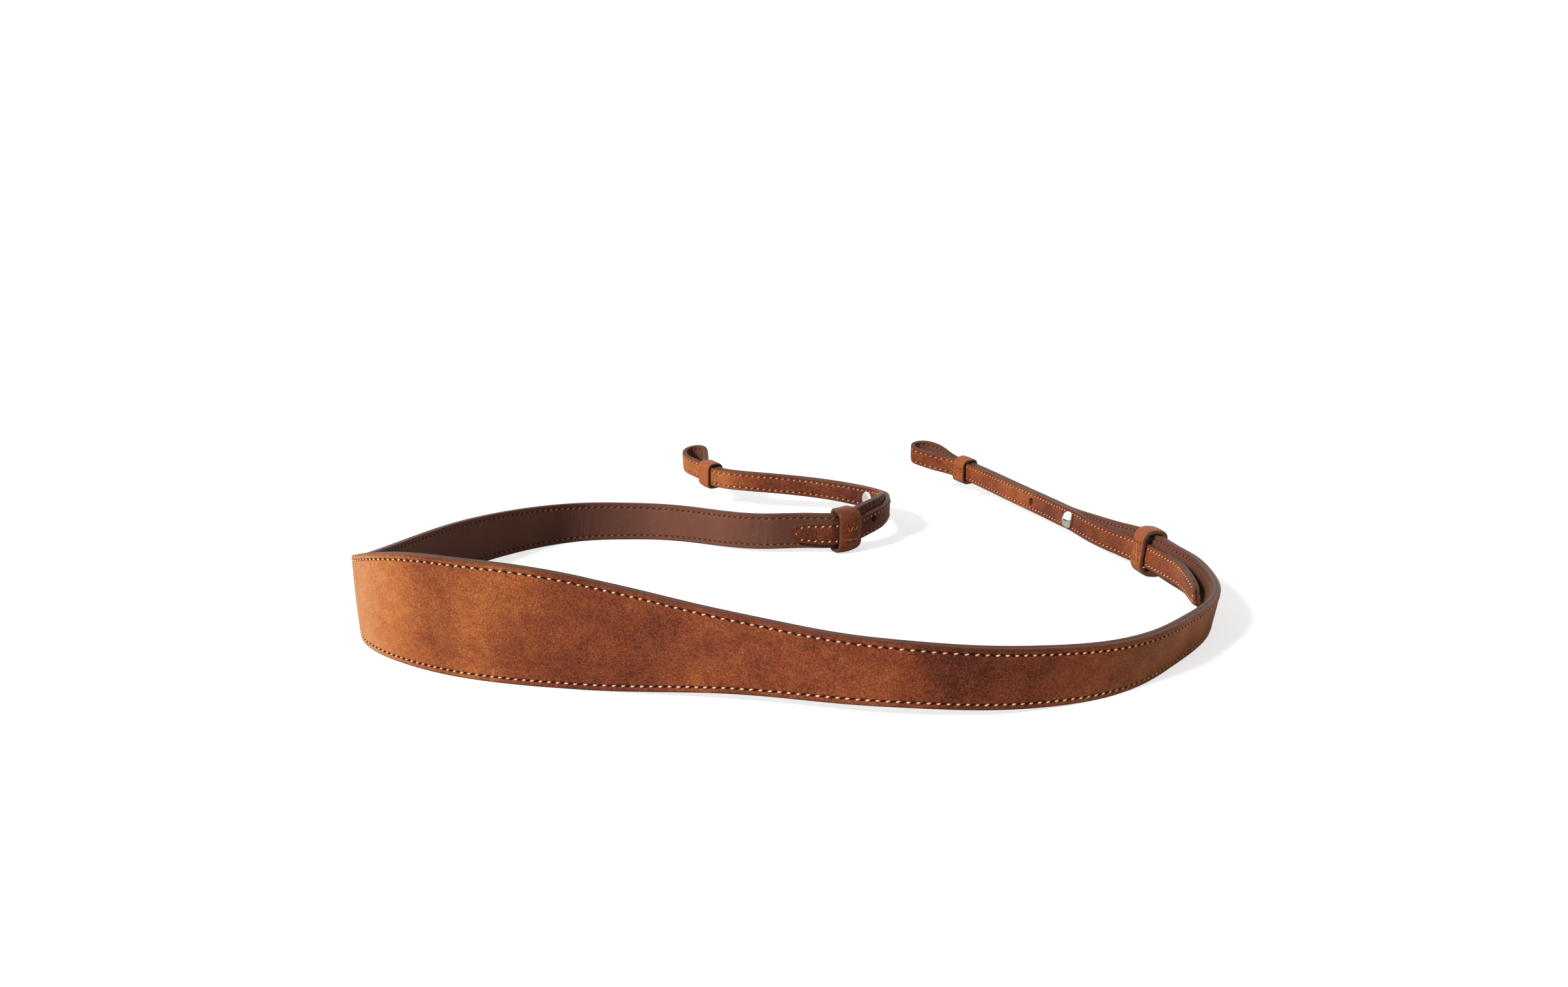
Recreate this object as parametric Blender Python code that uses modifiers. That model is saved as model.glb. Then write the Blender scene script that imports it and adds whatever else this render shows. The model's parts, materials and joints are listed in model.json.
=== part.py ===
"""Leather camera neck strap, laid down on its lower edge with both tongues buttoned.

All sizes are in millimetres, and MM turns them into metres where a mesh is made. The strap is a
ribbon: ROUTE gives the line of its lower edge from the left lug to the right one, and PAD its
width. Each tongue then turns back on itself in a loop, and its return lies on the lining of the
stretch that it came from. A place on the strap is its distance from the middle of the shoulder
pad, negative to the left.
"""

import math
from collections import namedtuple

import bmesh
import bpy
import numpy as np
from mathutils import Matrix

MM = 0.001

# Leather: two sewn layers, pared thinner towards the tongues
LAYER_THICK = 1.25
TONGUE_LAYER_THICK = 1.0
LAYER_GAP = 0.3
STRAP_THICK = 2 * LAYER_THICK + LAYER_GAP
TONGUE_THICK = 2 * TONGUE_LAYER_THICK + LAYER_GAP
EDGE_ROUND = 0.3
# Edges that turn by more than this are eased
EASED_TURN = math.radians(50.0)

# Tongues: the narrow ends that go round the lugs and lie doubled
TONGUE_WIDTH = 9.0
DOUBLED = TONGUE_THICK + LAYER_GAP
HOLE_DIAMETER = 3.6
HOLE_SIDES = 14
CUTTER_OVERSHOOT = 1.0

# Keepers: the strap's own section with room round it
KEEPER_LENGTH = 9.0
KEEPER_ROOM = 0.4
KEEPER_ROWS = 4
KEEPER_EDGE_ROUND = 0.4
KEEPER_BACK_ROUND = 0.9
KEEPER_CORNER_POINTS = 4

# wall is the leather, bulge the room over the return, and front_round the corners of that side
Keeper = namedtuple("Keeper", "wall bulge front_round")
LARGE_KEEPER = Keeper(1.6, 0.9, 3.0)
SMALL_KEEPER = Keeper(1.4, 0.9, 1.8)

# Studs: a domed button on a bored post, and a flat screw whose shank stands in the bore
STUD_SEAT = 0.3
STUD_HEAD_DIAMETER = 7.2
STUD_HEAD_HEIGHT = 3.2
STUD_HEAD_UNDERCUT = 0.4
STUD_RIM_SHARE = 0.25
STUD_DOME_ANGLES = (90.0, 72.0, 54.0, 36.0, 18.0, 0.0)
STUD_POST_DIAMETER = 3.0
STUD_BORE_DIAMETER = 2.0
SCREW_SHANK_DIAMETER = 1.3
SCREW_HEAD_DIAMETER = 6.8
SCREW_HEAD_HEIGHT = 1.0
SCREW_RIM_WIDTH = 0.4
SCREW_RIM_DROP = 0.3
RECESS_REACH = 1.35
RECESS_HALF_BLADE = 0.3
RECESS_DEPTH = 0.55
RECESS_TURN = math.radians(20.0)
TURNED_STEPS = 20
SHARP_TURN = math.radians(40.0)

# The middle of the part, in the coordinates of ROUTE
PLAN_ORIGIN = (2.89, 585.09)

# Where the strap's lower edge runs, from the left lug to the right one. lift is the height of
# that edge over the floor, and lean turns the strap about it towards its grain side, in degrees.
Route = namedtuple("Route", "x y lift lean")
ROUTE = (
    Route(-41.5, 778.0, 20.0, 4.0),
    Route(-43.9, 769.0, 18.7, 4.0),
    Route(-45.2, 758.0, 16.5, 4.0),
    Route(-44.4, 746.5, 14.0, 3.0),
    Route(-40.9, 734.0, 12.0, 2.0),
    Route(-34.0, 722.5, 10.7, 2.0),
    Route(-22.0, 715.2, 10.1, 2.0),
    Route(-6.3, 713.2, 9.1, 2.0),
    Route(10.9, 711.0, 7.7, 2.0),
    Route(24.5, 705.0, 6.8, 2.0),
    Route(33.2, 699.6, 6.0, 2.0),
    Route(38.2, 694.5, 5.6, 1.5),
    Route(42.4, 688.0, 5.3, 0.5),
    Route(44.2, 682.2, 5.4, -1.0),
    Route(44.2, 673.5, 5.8, -2.0),
    Route(43.6, 664.0, 6.5, -3.0),
    Route(42.0, 653.0, 6.9, -4.0),
    Route(38.8, 643.6, 6.1, -4.0),
    Route(34.3, 637.2, 4.8, -4.0),
    Route(29.5, 630.8, 3.4, -4.0),
    Route(25.2, 624.8, 2.6, -4.0),
    Route(19.9, 620.8, 2.4, -3.5),
    Route(11.4, 620.6, 2.4, -3.0),
    Route(-7.9, 621.4, 1.8, -2.0),
    Route(-28.9, 633.7, 0.6, 0.0),
    Route(-52.5, 647.4, 0.0, 0.0),
    Route(-70.0, 648.8, 0.0, 0.0),
    Route(-87.0, 646.1, 0.0, 0.0),
    Route(-103.0, 635.4, 0.0, 1.0),
    Route(-117.5, 617.4, 0.0, 1.0),
    Route(-131.0, 592.0, 0.0, 1.0),
    Route(-141.0, 562.0, 0.0, 2.0),
    Route(-146.5, 532.0, 0.0, 2.0),
    Route(-145.6, 504.0, 0.0, 3.0),
    Route(-139.1, 483.1, 0.0, 4.0),
    Route(-120.6, 460.5, 0.0, 6.0),
    Route(-101.3, 446.9, 0.0, 7.0),
    Route(-75.6, 437.1, 0.0, 7.0),
    Route(-59.3, 433.3, 0.0, 6.0),
    Route(-39.1, 427.7, 1.2, 5.0),
    Route(-19.4, 420.4, 3.2, 5.0),
    Route(-0.4, 413.7, 4.0, 4.0),
    Route(18.1, 407.4, 4.2, 6.0),
    Route(36.1, 405.2, 3.8, 9.0),
    Route(54.4, 406.9, 2.6, 12.0),
    Route(74.0, 414.5, 0.8, 13.0),
    Route(95.1, 426.2, 0.0, 15.0),
    Route(109.8, 440.0, 0.0, 16.0),
    Route(122.0, 456.7, 0.0, 16.0),
    Route(136.2, 478.5, 0.0, 15.0),
    Route(145.3, 497.4, 0.0, 11.0),
    Route(150.4, 518.0, 0.1, 7.5),
    Route(152.2, 534.2, 0.5, 5.5),
    Route(152.0, 546.0, 0.9, 5.0),
    Route(149.6, 559.3, 1.4, 5.5),
    Route(144.2, 587.0, 2.5, 6.5),
    Route(137.9, 605.5, 3.0, 8.0),
    Route(131.2, 626.4, 4.6, 8.0),
    Route(125.0, 654.4, 5.2, 8.0),
    Route(117.6, 680.8, 6.0, 6.0),
    Route(108.9, 704.5, 7.6, 4.0),
    Route(100.2, 730.0, 9.3, -1.0),
    Route(91.8, 746.8, 11.0, -6.0),
    Route(85.8, 752.8, 12.6, -9.0),
    Route(78.8, 759.0, 14.7, -12.0),
    Route(71.0, 766.0, 16.8, -13.0),
    Route(63.0, 773.5, 18.8, -13.0),
)
PAD_MIDDLE = (-95.5, 444.2)

# The strap's width by the distance from the middle of the pad, alike on both sides
Pad = namedtuple("Pad", "distance width")
PAD = (
    Pad(-20.0, 38.2),
    Pad(0.0, 39.0),
    Pad(20.0, 38.2),
    Pad(38.0, 35.4),
    Pad(57.0, 31.2),
    Pad(77.0, 26.4),
    Pad(97.0, 22.9),
    Pad(117.0, 20.9),
    Pad(137.0, 20.0),
    Pad(170.0, 19.5),
    Pad(205.0, 18.4),
    Pad(240.0, 17.0),
    Pad(280.0, 15.9),
    Pad(330.0, 15.1),
    Pad(370.0, 14.9),
    Pad(440.0, 14.9),
)

# The blunt tip of a tongue: its width by the distance from its end
Tip = namedtuple("Tip", "distance width")
TIP = (
    Tip(0.0, 5.4),
    Tip(0.5, 6.4),
    Tip(1.4, 7.1),
    Tip(3.0, 7.8),
    Tip(7.0, 9.0),
    Tip(13.0, 9.7),
    Tip(30.0, 9.7),
    Tip(60.0, 9.4),
    Tip(100.0, TONGUE_WIDTH),
)

# The loop round a lug, past the place where it opens: along goes on along the route, and across
# goes out to the grain side. The rows run from the outward stretch to the return.
Loop = namedtuple("Loop", "along across")
LOOP = (
    Loop(-8.0, 0.0),
    Loop(-4.0, 0.0),
    Loop(0.0, 0.1),
    Loop(5.0, 1.2),
    Loop(10.5, 3.4),
    Loop(16.0, 4.9),
    Loop(21.0, 4.7),
    Loop(25.0, 2.3),
    Loop(26.2, -1.5),
    Loop(24.0, -4.6),
    Loop(18.5, -5.4),
    Loop(12.0, -4.9),
    Loop(5.5, -3.5),
    Loop(0.0, -DOUBLED),
    Loop(-4.0, -DOUBLED),
    Loop(-8.0, -DOUBLED),
)

# What differs between the two ends. Every place is a distance from the middle of the pad.
# bow says how the return lies beside the stretch that carries it: away is how far it stands off
# beyond touching, below how far its middle hangs lower, and turn how far its top leans away.
# The strap starts to narrow at narrows and is a tongue from narrow on.
End = namedtuple("End", "side large_keeper small_keeper loop stud free_hole tip narrows narrow bow")
Bow = namedtuple("Bow", "place away below turn")
LEFT = End(
    side=-1,
    large_keeper=363.5,
    small_keeper=526.7,
    loop=533.2,
    stud=437.0,
    free_hole=382.0,
    tip=341.5,
    narrows=352.0,
    narrow=465.0,
    bow=(
        Bow(300.0, 0.3, 0.7, 0.0),
        Bow(343.0, 0.3, 0.5, 0.0),
        Bow(355.0, 0.2, 0.5, 0.0),
        Bow(363.5, 0.1, 0.8, 0.0),
        Bow(374.0, 0.1, 1.3, 0.0),
        Bow(384.0, 0.1, 1.5, 0.0),
        Bow(397.0, 0.1, 1.4, 0.0),
        Bow(415.0, 0.1, 0.8, 0.0),
        Bow(428.0, 0.0, 0.15, 0.0),
        Bow(438.0, 0.0, 0.0, 0.0),
        Bow(448.0, 0.0, 0.0, 0.0),
        Bow(465.0, 0.0, 0.0, 0.0),
        Bow(500.0, 0.0, 0.0, 0.0),
        Bow(600.0, 0.0, 0.0, 0.0),
    ),
)
RIGHT = End(
    side=1,
    large_keeper=373.0,
    small_keeper=547.0,
    loop=553.5,
    stud=436.0,
    free_hole=478.0,
    tip=304.0,
    narrows=372.0,
    narrow=452.0,
    bow=(
        Bow(290.0, 1.7, 0.0, 15.0),
        Bow(304.0, 1.7, 0.0, 15.0),
        Bow(318.0, 2.1, -0.2, 14.0),
        Bow(335.0, 1.7, -0.1, 10.0),
        Bow(355.0, 0.8, 0.6, 4.0),
        Bow(373.0, 0.4, 1.4, 0.0),
        Bow(400.0, 0.7, 1.2, 0.0),
        Bow(421.0, 0.4, 0.7, 0.0),
        Bow(436.0, 0.0, 0.0, 0.0),
        Bow(446.0, 0.0, 0.0, 0.0),
        Bow(465.0, 0.0, 0.0, 0.0),
        Bow(500.0, 0.0, 0.0, 0.0),
        Bow(600.0, 0.0, 0.0, 0.0),
    ),
)
ENDS = {"left": LEFT, "right": RIGHT}

# How finely the ribbon is divided: one step for each of these amounts of length, turn and width
STEP_LENGTH = 24.0
STEP_TURN = math.radians(14.5)
STEP_WIDTH = 2.5
FINE_STEP = 0.5

Finish = namedtuple("Finish", "colour roughness metallic")
GRAIN_LEATHER = Finish((0.212, 0.058, 0.0235), 0.5, 0.0)
LINING_LEATHER = Finish((0.148, 0.055, 0.034), 0.6, 0.0)
KEEPER_LEATHER = Finish((0.21, 0.057, 0.022), 0.45, 0.0)
NICKEL = Finish((0.78, 0.77, 0.74), 0.2, 1.0)


def smooth_curve(knots, values):
    """The natural cubic spline through values at knots, as a function of the same coordinate."""
    knots = np.asarray(knots, float)
    values = np.asarray(values, float)
    spans = np.diff(knots)
    slopes = (np.diff(values, axis=0).T / spans).T
    last = len(knots) - 1
    system = np.eye(last + 1)
    pull = np.zeros_like(values)
    for row in range(1, last):
        system[row, row - 1] = spans[row - 1]
        system[row, row] = 2 * (spans[row - 1] + spans[row])
        system[row, row + 1] = spans[row]
        pull[row] = 6 * (slopes[row] - slopes[row - 1])
    bend = np.linalg.solve(system, pull)

    def at(places):
        places = np.asarray(places, float)
        span = np.clip(np.searchsorted(knots, places) - 1, 0, last - 1)
        width = spans[span]
        after = (places - knots[span]) / width
        before = 1 - after
        if values.ndim == 2:
            width, after, before = (column[..., None] for column in (width, after, before))
        bent = (before**3 - before) * bend[span] + (after**3 - after) * bend[span + 1]
        return before * values[span] + after * values[span + 1] + bent * width**2 / 6

    return at


def unit(vectors):
    """Rows of vectors scaled to length one."""
    return vectors / np.linalg.norm(vectors, axis=-1, keepdims=True)


def running_length(points):
    """The distance along a row of points, up to each of them."""
    return np.concatenate([[0.0], np.cumsum(np.linalg.norm(np.diff(points, axis=0), axis=1))])


class MainRun:
    """The strap from one lug loop to the other, by the distance from the middle of the pad."""

    def __init__(self):
        rows = np.array(ROUTE)
        knots = running_length(rows[:, :2])
        curve = smooth_curve(knots, rows)
        fine = np.arange(0.0, knots[-1], FINE_STEP)
        rows = curve(fine)
        places = running_length(rows[:, :2])
        middle = np.argmin(np.linalg.norm(rows[:, :2] - PAD_MIDDLE, axis=1))
        self.places = places - places[middle]
        rows[:, 2] = rows[:, 2].clip(min=0.0)
        self.rows = rows
        self.pad = smooth_curve([row.distance for row in PAD], [row.width for row in PAD])

    def narrowed(self, places):
        """How far the strap has narrowed to a tongue, from 0 to 1."""
        places = np.asarray(places, float)
        narrows = np.where(places < 0, LEFT.narrows, RIGHT.narrows)
        narrow = np.where(places < 0, LEFT.narrow, RIGHT.narrow)
        share = np.clip((np.abs(places) - narrows) / (narrow - narrows), 0.0, 1.0)
        return share * share * (3 - 2 * share)

    def width(self, places):
        """The pad's width, and past each end's shoulder the taper to the tongue."""
        pad = self.pad(np.clip(np.abs(places), 0.0, PAD[-1].distance))
        return pad + (TONGUE_WIDTH - pad) * self.narrowed(places)

    def layer_thick(self, places):
        """The thickness of one layer of leather."""
        return LAYER_THICK + (TONGUE_LAYER_THICK - LAYER_THICK) * self.narrowed(places)

    def column(self, index, places):
        """One column of ROUTE, read along the strap."""
        return np.interp(places, self.places, self.rows[:, index])

    def frames(self, places):
        """Middle points, and unit vectors along the strap, up across it and out of its grain."""
        places = np.atleast_1d(np.asarray(places, float))
        lean = np.radians(self.column(3, places))[:, None]
        along = unit(self.centre(places + FINE_STEP) - self.centre(places - FINE_STEP))
        level = unit(np.cross(along, (0.0, 0.0, 1.0)))
        upright = np.cross(level, along)
        up = np.cos(lean) * upright + np.sin(lean) * level
        out = np.cos(lean) * level - np.sin(lean) * upright
        return self.centre(places), along, up, out

    def centre(self, places):
        """The middle of the strap over its lower edge's foot line, moved aside by its lean."""
        lean = np.radians(self.column(3, places))
        heading = np.gradient(self.rows[:, :2], axis=0)
        side_x = np.interp(places, self.places, heading[:, 1])
        side_y = -np.interp(places, self.places, heading[:, 0])
        half = self.width(places) / 2
        reach = half * np.sin(lean) / np.hypot(side_x, side_y)
        x = self.column(0, places) + reach * side_x - PLAN_ORIGIN[0]
        y = self.column(1, places) + reach * side_y - PLAN_ORIGIN[1]
        z = self.column(2, places) + half * np.cos(lean) + STRAP_THICK / 2 * np.abs(np.sin(lean))
        return np.stack([x, y, z], axis=1)


RUN = MainRun()
Station = namedtuple("Station", "points up widths layers")


def main_stations():
    """The strap between the two lug loops."""
    places = np.arange(-LEFT.loop, RIGHT.loop, FINE_STEP)
    centre, _, up, _ = RUN.frames(places)
    return Station(centre, up, RUN.width(places), RUN.layer_thick(places))


def loop_stations(end):
    """The turn round the lug, from the outward stretch to the return."""
    rows = np.array(LOOP)
    knots = running_length(rows)
    fine = smooth_curve(knots, rows)(np.arange(knots[2], knots[-3], FINE_STEP))
    centre, _, up, out = RUN.frames(end.side * (end.loop + fine[:, 0]))
    count = len(fine)
    return Station(
        centre + fine[:, 1:] * out,
        up,
        np.full(count, TONGUE_WIDTH),
        np.full(count, TONGUE_LAYER_THICK),
    )


def return_frames(end, places):
    """The middles and up vectors of the return that lies on the strap at these places."""
    centre, _, up, out = RUN.frames(end.side * places)
    bow = np.array(end.bow)
    away, below, turn = smooth_curve(bow[:, 0], bow[:, 1:])(places).T[:, :, None]
    thick = 2 * RUN.layer_thick(end.side * places)[:, None] + LAYER_GAP
    off = (thick + TONGUE_THICK) / 2 + LAYER_GAP + away
    turn = np.radians(turn)
    return centre - off * out - below * up, np.cos(turn) * up - np.sin(turn) * out


def return_stations(end):
    """The return from the lug loop to the tip."""
    places = np.arange(end.loop, end.tip - FINE_STEP / 4, -FINE_STEP / 2)
    points, up = return_frames(end, places)
    distances, widths = zip(*TIP)
    widths = np.interp(places - end.tip, distances, widths)
    return Station(points, up, widths, np.full(len(places), TONGUE_LAYER_THICK))


def turned_round(station):
    """The same stretch run the other way."""
    return Station(*(column[::-1] for column in station))


def ribbon_stations():
    """The whole strap from tip to tip, divided where it bends or changes width."""
    stretches = (
        turned_round(return_stations(LEFT)),
        turned_round(loop_stations(LEFT)),
        main_stations(),
        loop_stations(RIGHT),
        return_stations(RIGHT),
    )
    points, up, widths, layers = (np.concatenate(columns) for columns in zip(*stretches))
    along = unit(np.gradient(points, axis=0))
    steps = np.linalg.norm(np.diff(points, axis=0), axis=1)
    turns = np.linalg.norm(np.diff(along, axis=0), axis=1) + np.linalg.norm(np.diff(up, axis=0), axis=1)
    effort = steps / STEP_LENGTH + turns / STEP_TURN + np.abs(np.diff(widths)) / STEP_WIDTH
    effort = np.concatenate([[0.0], np.cumsum(effort)])
    stops = np.linspace(0.0, effort[-1], round(effort[-1]) + 1)
    chosen = np.unique(np.searchsorted(effort, stops).clip(0, len(points) - 1))
    up = unit(up - (up * along).sum(axis=1, keepdims=True) * along)
    out = np.cross(along, up)
    return points[chosen], up[chosen], out[chosen], widths[chosen], layers[chosen]


def new_object(name, vertices, faces, collection, edges=()):
    """A mesh object from points in millimetres."""
    mesh = bpy.data.meshes.new(name)
    mesh.from_pydata((np.asarray(vertices) * MM).tolist(), edges, faces)
    mesh.update()
    made = bpy.data.objects.new(name, mesh)
    collection.objects.link(made)
    return made


def dress(made, finish, parent):
    """Gives a piece its material and parent."""
    material = bpy.data.materials.new(made.name + "_material")
    material.use_nodes = True
    shader = material.node_tree.nodes["Principled BSDF"]
    shader.inputs["Base Color"].default_value = (*finish.colour, 1.0)
    shader.inputs["Roughness"].default_value = finish.roughness
    shader.inputs["Metallic"].default_value = finish.metallic
    made.data.materials.append(material)
    made.parent = parent


def thicken(made, wall, edge_round):
    """Makes a closed wall of an open surface, outwards from it, and eases the wall's edges."""
    solid = made.modifiers.new("wall", "SOLIDIFY")
    solid.thickness = wall * MM
    solid.offset = 1.0
    solid.use_even_offset = True
    eased = made.modifiers.new("eased_edges", "BEVEL")
    eased.width = edge_round * MM
    eased.segments = 1
    eased.limit_method = "ANGLE"
    eased.angle_limit = EASED_TURN
    return solid


def layer(name, side, finish, parts, cutters, parent):
    """One layer of the strap: a ribbon thickened away from the seam, with the tongues' holes."""
    points, up, out, widths, layers = ribbon_stations()
    seam = points + side * out * LAYER_GAP / 2
    half = up * widths[:, None] / 2
    vertices = np.stack([seam - half, seam + half], axis=1).reshape(-1, 3)
    faces = []
    for row in range(0, len(vertices) - 2, 2):
        for face in ((row, row + 2, row + 3), (row, row + 3, row + 1)):
            faces.append(face if side > 0 else face[::-1])
    made = new_object(name, vertices, faces, parts)
    solid = thicken(made, LAYER_THICK, EDGE_ROUND)
    pared = made.vertex_groups.new(name="pared")
    for row, layer_thick in enumerate(layers):
        pared.add((2 * row, 2 * row + 1), layer_thick / LAYER_THICK, "REPLACE")
    solid.vertex_group = pared.name
    for cutter in cutters:
        hole = made.modifiers.new(cutter.name, "BOOLEAN")
        hole.operation = "DIFFERENCE"
        hole.solver = "EXACT"
        hole.use_self = True
        hole.object = cutter
    dress(made, finish, parent)
    return made


def keeper_outline(half_width, back, front, front_round):
    """The inside of a keeper across the strap: square at the back and round at the front.

    The points are (across, out). The back is over the strap's grain, and the front, at -front,
    over the grain of the return.
    """
    corners = (
        (KEEPER_BACK_ROUND, back - KEEPER_BACK_ROUND, 90.0, 0.0),
        (front_round, front_round - front, 0.0, -90.0),
    )
    points = []
    for radius, out, start, stop in corners:
        for angle in np.radians(np.linspace(start, stop, KEEPER_CORNER_POINTS)):
            across = half_width - radius + radius * math.cos(angle)
            points.append((across, out + radius * math.sin(angle)))
    return points + [(-across, out) for across, out in reversed(points)]


def keeper(name, place, style, parts, parent):
    """A sewn leather loop round the strap and the return, bent as the strap is there."""
    half_width = float(RUN.width(place)) / 2 + KEEPER_ROOM
    grain = float(RUN.layer_thick(place)) + LAYER_GAP / 2
    front = grain + LAYER_GAP + TONGUE_THICK + KEEPER_ROOM + style.bulge
    outline = np.array(keeper_outline(half_width, grain + KEEPER_ROOM, front, style.front_round))
    rows = place + np.linspace(-KEEPER_LENGTH / 2, KEEPER_LENGTH / 2, KEEPER_ROWS)
    centre, _, up, out = RUN.frames(rows)
    raised = outline[None, :, :1] * up[:, None]
    stood_off = outline[None, :, 1:] * out[:, None]
    vertices = centre[:, None] + raised + stood_off
    count = len(outline)
    faces = []
    for row in range(len(rows) - 1):
        for column in range(count):
            after = (column + 1) % count
            start = row * count
            faces.append((start + column, start + count + column, start + count + after, start + after))
    made = new_object(name, vertices.reshape(-1, 3), faces, parts)
    thicken(made, style.wall, KEEPER_EDGE_ROUND)
    dress(made, KEEPER_LEATHER, parent)
    return made


def stud_frame(place):
    """The matrix that stands a turned piece on the strap: +Z out of the grain, origin mid-strap."""
    centre, along, up, out = (vector[0] for vector in RUN.frames(place))
    frame = np.eye(4)
    frame[:3, 0] = along
    frame[:3, 1] = np.cross(out, along)
    frame[:3, 2] = out
    frame[:3, 3] = centre * MM
    return frame


def place_by(made, frame):
    """Stands a piece in a frame."""
    made.matrix_world = Matrix(frame.tolist())


def turned(name, profile, collection):
    """A piece turned about Z from its outer profile, top to bottom, closed on the axis."""
    vertices = [(radius, 0.0, height) for radius, height in profile]
    edges = [(index, index + 1) for index in range(len(profile) - 1)]
    made = new_object(name, vertices, [], collection, edges)
    screw = made.modifiers.new("turned", "SCREW")
    screw.steps = TURNED_STEPS
    screw.render_steps = TURNED_STEPS
    screw.use_merge_vertices = True
    screw.merge_threshold = 0.00001
    profile_mesh = made.data
    graph = bpy.context.evaluated_depsgraph_get()
    made.data = bpy.data.meshes.new_from_object(made.evaluated_get(graph))
    made.modifiers.clear()
    bpy.data.meshes.remove(profile_mesh)
    made.data.name = name
    made.data.shade_smooth()
    made.data.set_sharp_from_angle(angle=SHARP_TURN)
    return made


def stud_button(name, place, parts, parent):
    """The domed head over the return's grain, with its neck and post through both stretches."""
    seat = -(DOUBLED + TONGUE_THICK / 2 + STUD_SEAT)
    mouth = TONGUE_THICK / 2
    radius = STUD_HEAD_DIAMETER / 2
    post = STUD_POST_DIAMETER / 2
    bore = STUD_BORE_DIAMETER / 2
    foot = (radius - STUD_HEAD_UNDERCUT, seat)
    profile = [(0.0, seat), (bore, seat), (bore, mouth), (post, mouth), (post, seat), foot]
    for angle in np.radians(STUD_DOME_ANGLES):
        share = STUD_RIM_SHARE + (1 - STUD_RIM_SHARE) * math.cos(angle)
        profile.append((radius * math.sin(angle), seat - STUD_HEAD_HEIGHT * share))
    made = turned(name, profile, parts)
    place_by(made, stud_frame(place))
    dress(made, NICKEL, parent)
    return made


def stud_screw(name, place, parts, guides, parent):
    """The flat screw with a small cross recess on the strap's own grain, its shank in the post."""
    seat = TONGUE_THICK / 2 + STUD_SEAT
    top = seat + SCREW_HEAD_HEIGHT
    radius = SCREW_HEAD_DIAMETER / 2
    shank = SCREW_SHANK_DIAMETER / 2
    profile = [
        (0.0, top),
        (radius - SCREW_RIM_WIDTH, top),
        (radius, top - SCREW_RIM_DROP),
        (radius, seat),
        (shank, seat),
        (shank, -TONGUE_THICK),
        (0.0, -TONGUE_THICK),
    ]
    made = turned(name, profile, parts)
    frame = stud_frame(place)
    place_by(made, frame)
    cut = made.modifiers.new("recess", "BOOLEAN")
    cut.operation = "DIFFERENCE"
    cut.solver = "EXACT"
    cut.object = recess_cutter(name + "_recess", top, frame, guides)
    dress(made, NICKEL, parent)
    return made


def recess_outline():
    """The cross of the driver recess, turned a little as the screw was left."""
    reach, blade = RECESS_REACH, RECESS_HALF_BLADE
    arm = ((blade, -blade), (reach, -blade), (reach, blade))
    points = []
    for quarter in range(4):
        turn = quarter * math.pi / 2 + RECESS_TURN
        for x, y in arm:
            along = x * math.cos(turn) - y * math.sin(turn)
            across = x * math.sin(turn) + y * math.cos(turn)
            points.append((along, across))
    return points


def recess_cutter(name, top, frame, guides):
    """A cross-shaped cutter that reaches as far above a head's top as below it."""
    outline = recess_outline()
    count = len(outline)
    low = [(x, y, top - RECESS_DEPTH) for x, y in outline]
    high = [(x, y, top + RECESS_DEPTH) for x, y in outline]
    faces = [tuple(reversed(range(count))), tuple(range(count, 2 * count))]
    for index in range(count):
        after = (index + 1) % count
        faces.append((index, after, after + count, index + count))
    made = new_object(name, low + high, faces, guides)
    place_by(made, frame)
    return as_cutter(made)


def as_cutter(made):
    """Marks a shape as a cutter."""
    made.hide_render = True
    made.display_type = "WIRE"
    return made


def hole_cutter(name, place, low, high, guides):
    """A round cutter across the strap, between two distances out from its middle."""
    mesh = bpy.data.meshes.new(name)
    shape = bmesh.new()
    bmesh.ops.create_cone(
        shape,
        cap_ends=True,
        segments=HOLE_SIDES,
        radius1=HOLE_DIAMETER / 2 * MM,
        radius2=HOLE_DIAMETER / 2 * MM,
        depth=(high - low) * MM,
    )
    bmesh.ops.translate(shape, vec=(0.0, 0.0, (high + low) / 2 * MM), verts=shape.verts)
    shape.to_mesh(mesh)
    shape.free()
    made = bpy.data.objects.new(name, mesh)
    guides.objects.link(made)
    place_by(made, stud_frame(place))
    return as_cutter(made)


def hole_cutters(guides):
    """The stud's hole through both stretches and the free hole in the return, at each end."""
    through = STRAP_THICK / 2 + CUTTER_OVERSHOOT
    return_grain = DOUBLED + TONGUE_THICK / 2 + CUTTER_OVERSHOOT
    between = DOUBLED / 2
    cutters = []
    for label, end in ENDS.items():
        stud = end.side * end.stud
        free = end.side * end.free_hole
        cutters.append(hole_cutter(f"stud_hole_{label}", stud, -return_grain, through, guides))
        cutters.append(hole_cutter(f"free_hole_{label}", free, -return_grain, -between, guides))
    return cutters


def clear_scene():
    """Removes everything that the new file comes with."""
    for thing in list(bpy.data.objects):
        bpy.data.objects.remove(thing, do_unlink=True)


def new_collection(name):
    """A collection in the scene."""
    made = bpy.data.collections.new(name)
    bpy.context.scene.collection.children.link(made)
    return made


def main():
    """Builds the strap, its keepers and its studs."""
    clear_scene()
    parts = new_collection("camera_neck_strap")
    guides = new_collection("cutters")
    guides.hide_render = True
    strap = bpy.data.objects.new("strap", None)
    parts.objects.link(strap)
    cutters = hole_cutters(guides)
    layer("outer_strap", 1, GRAIN_LEATHER, parts, cutters, strap)
    layer("lining", -1, LINING_LEATHER, parts, cutters, strap)
    for label, end in ENDS.items():
        keeper(f"large_keeper_{label}", end.side * end.large_keeper, LARGE_KEEPER, parts, strap)
        keeper(f"small_keeper_{label}", end.side * end.small_keeper, SMALL_KEEPER, parts, strap)
        stud_button(f"stud_button_{label}", end.side * end.stud, parts, strap)
        stud_screw(f"stud_screw_{label}", end.side * end.stud, parts, guides, strap)


main()
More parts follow.
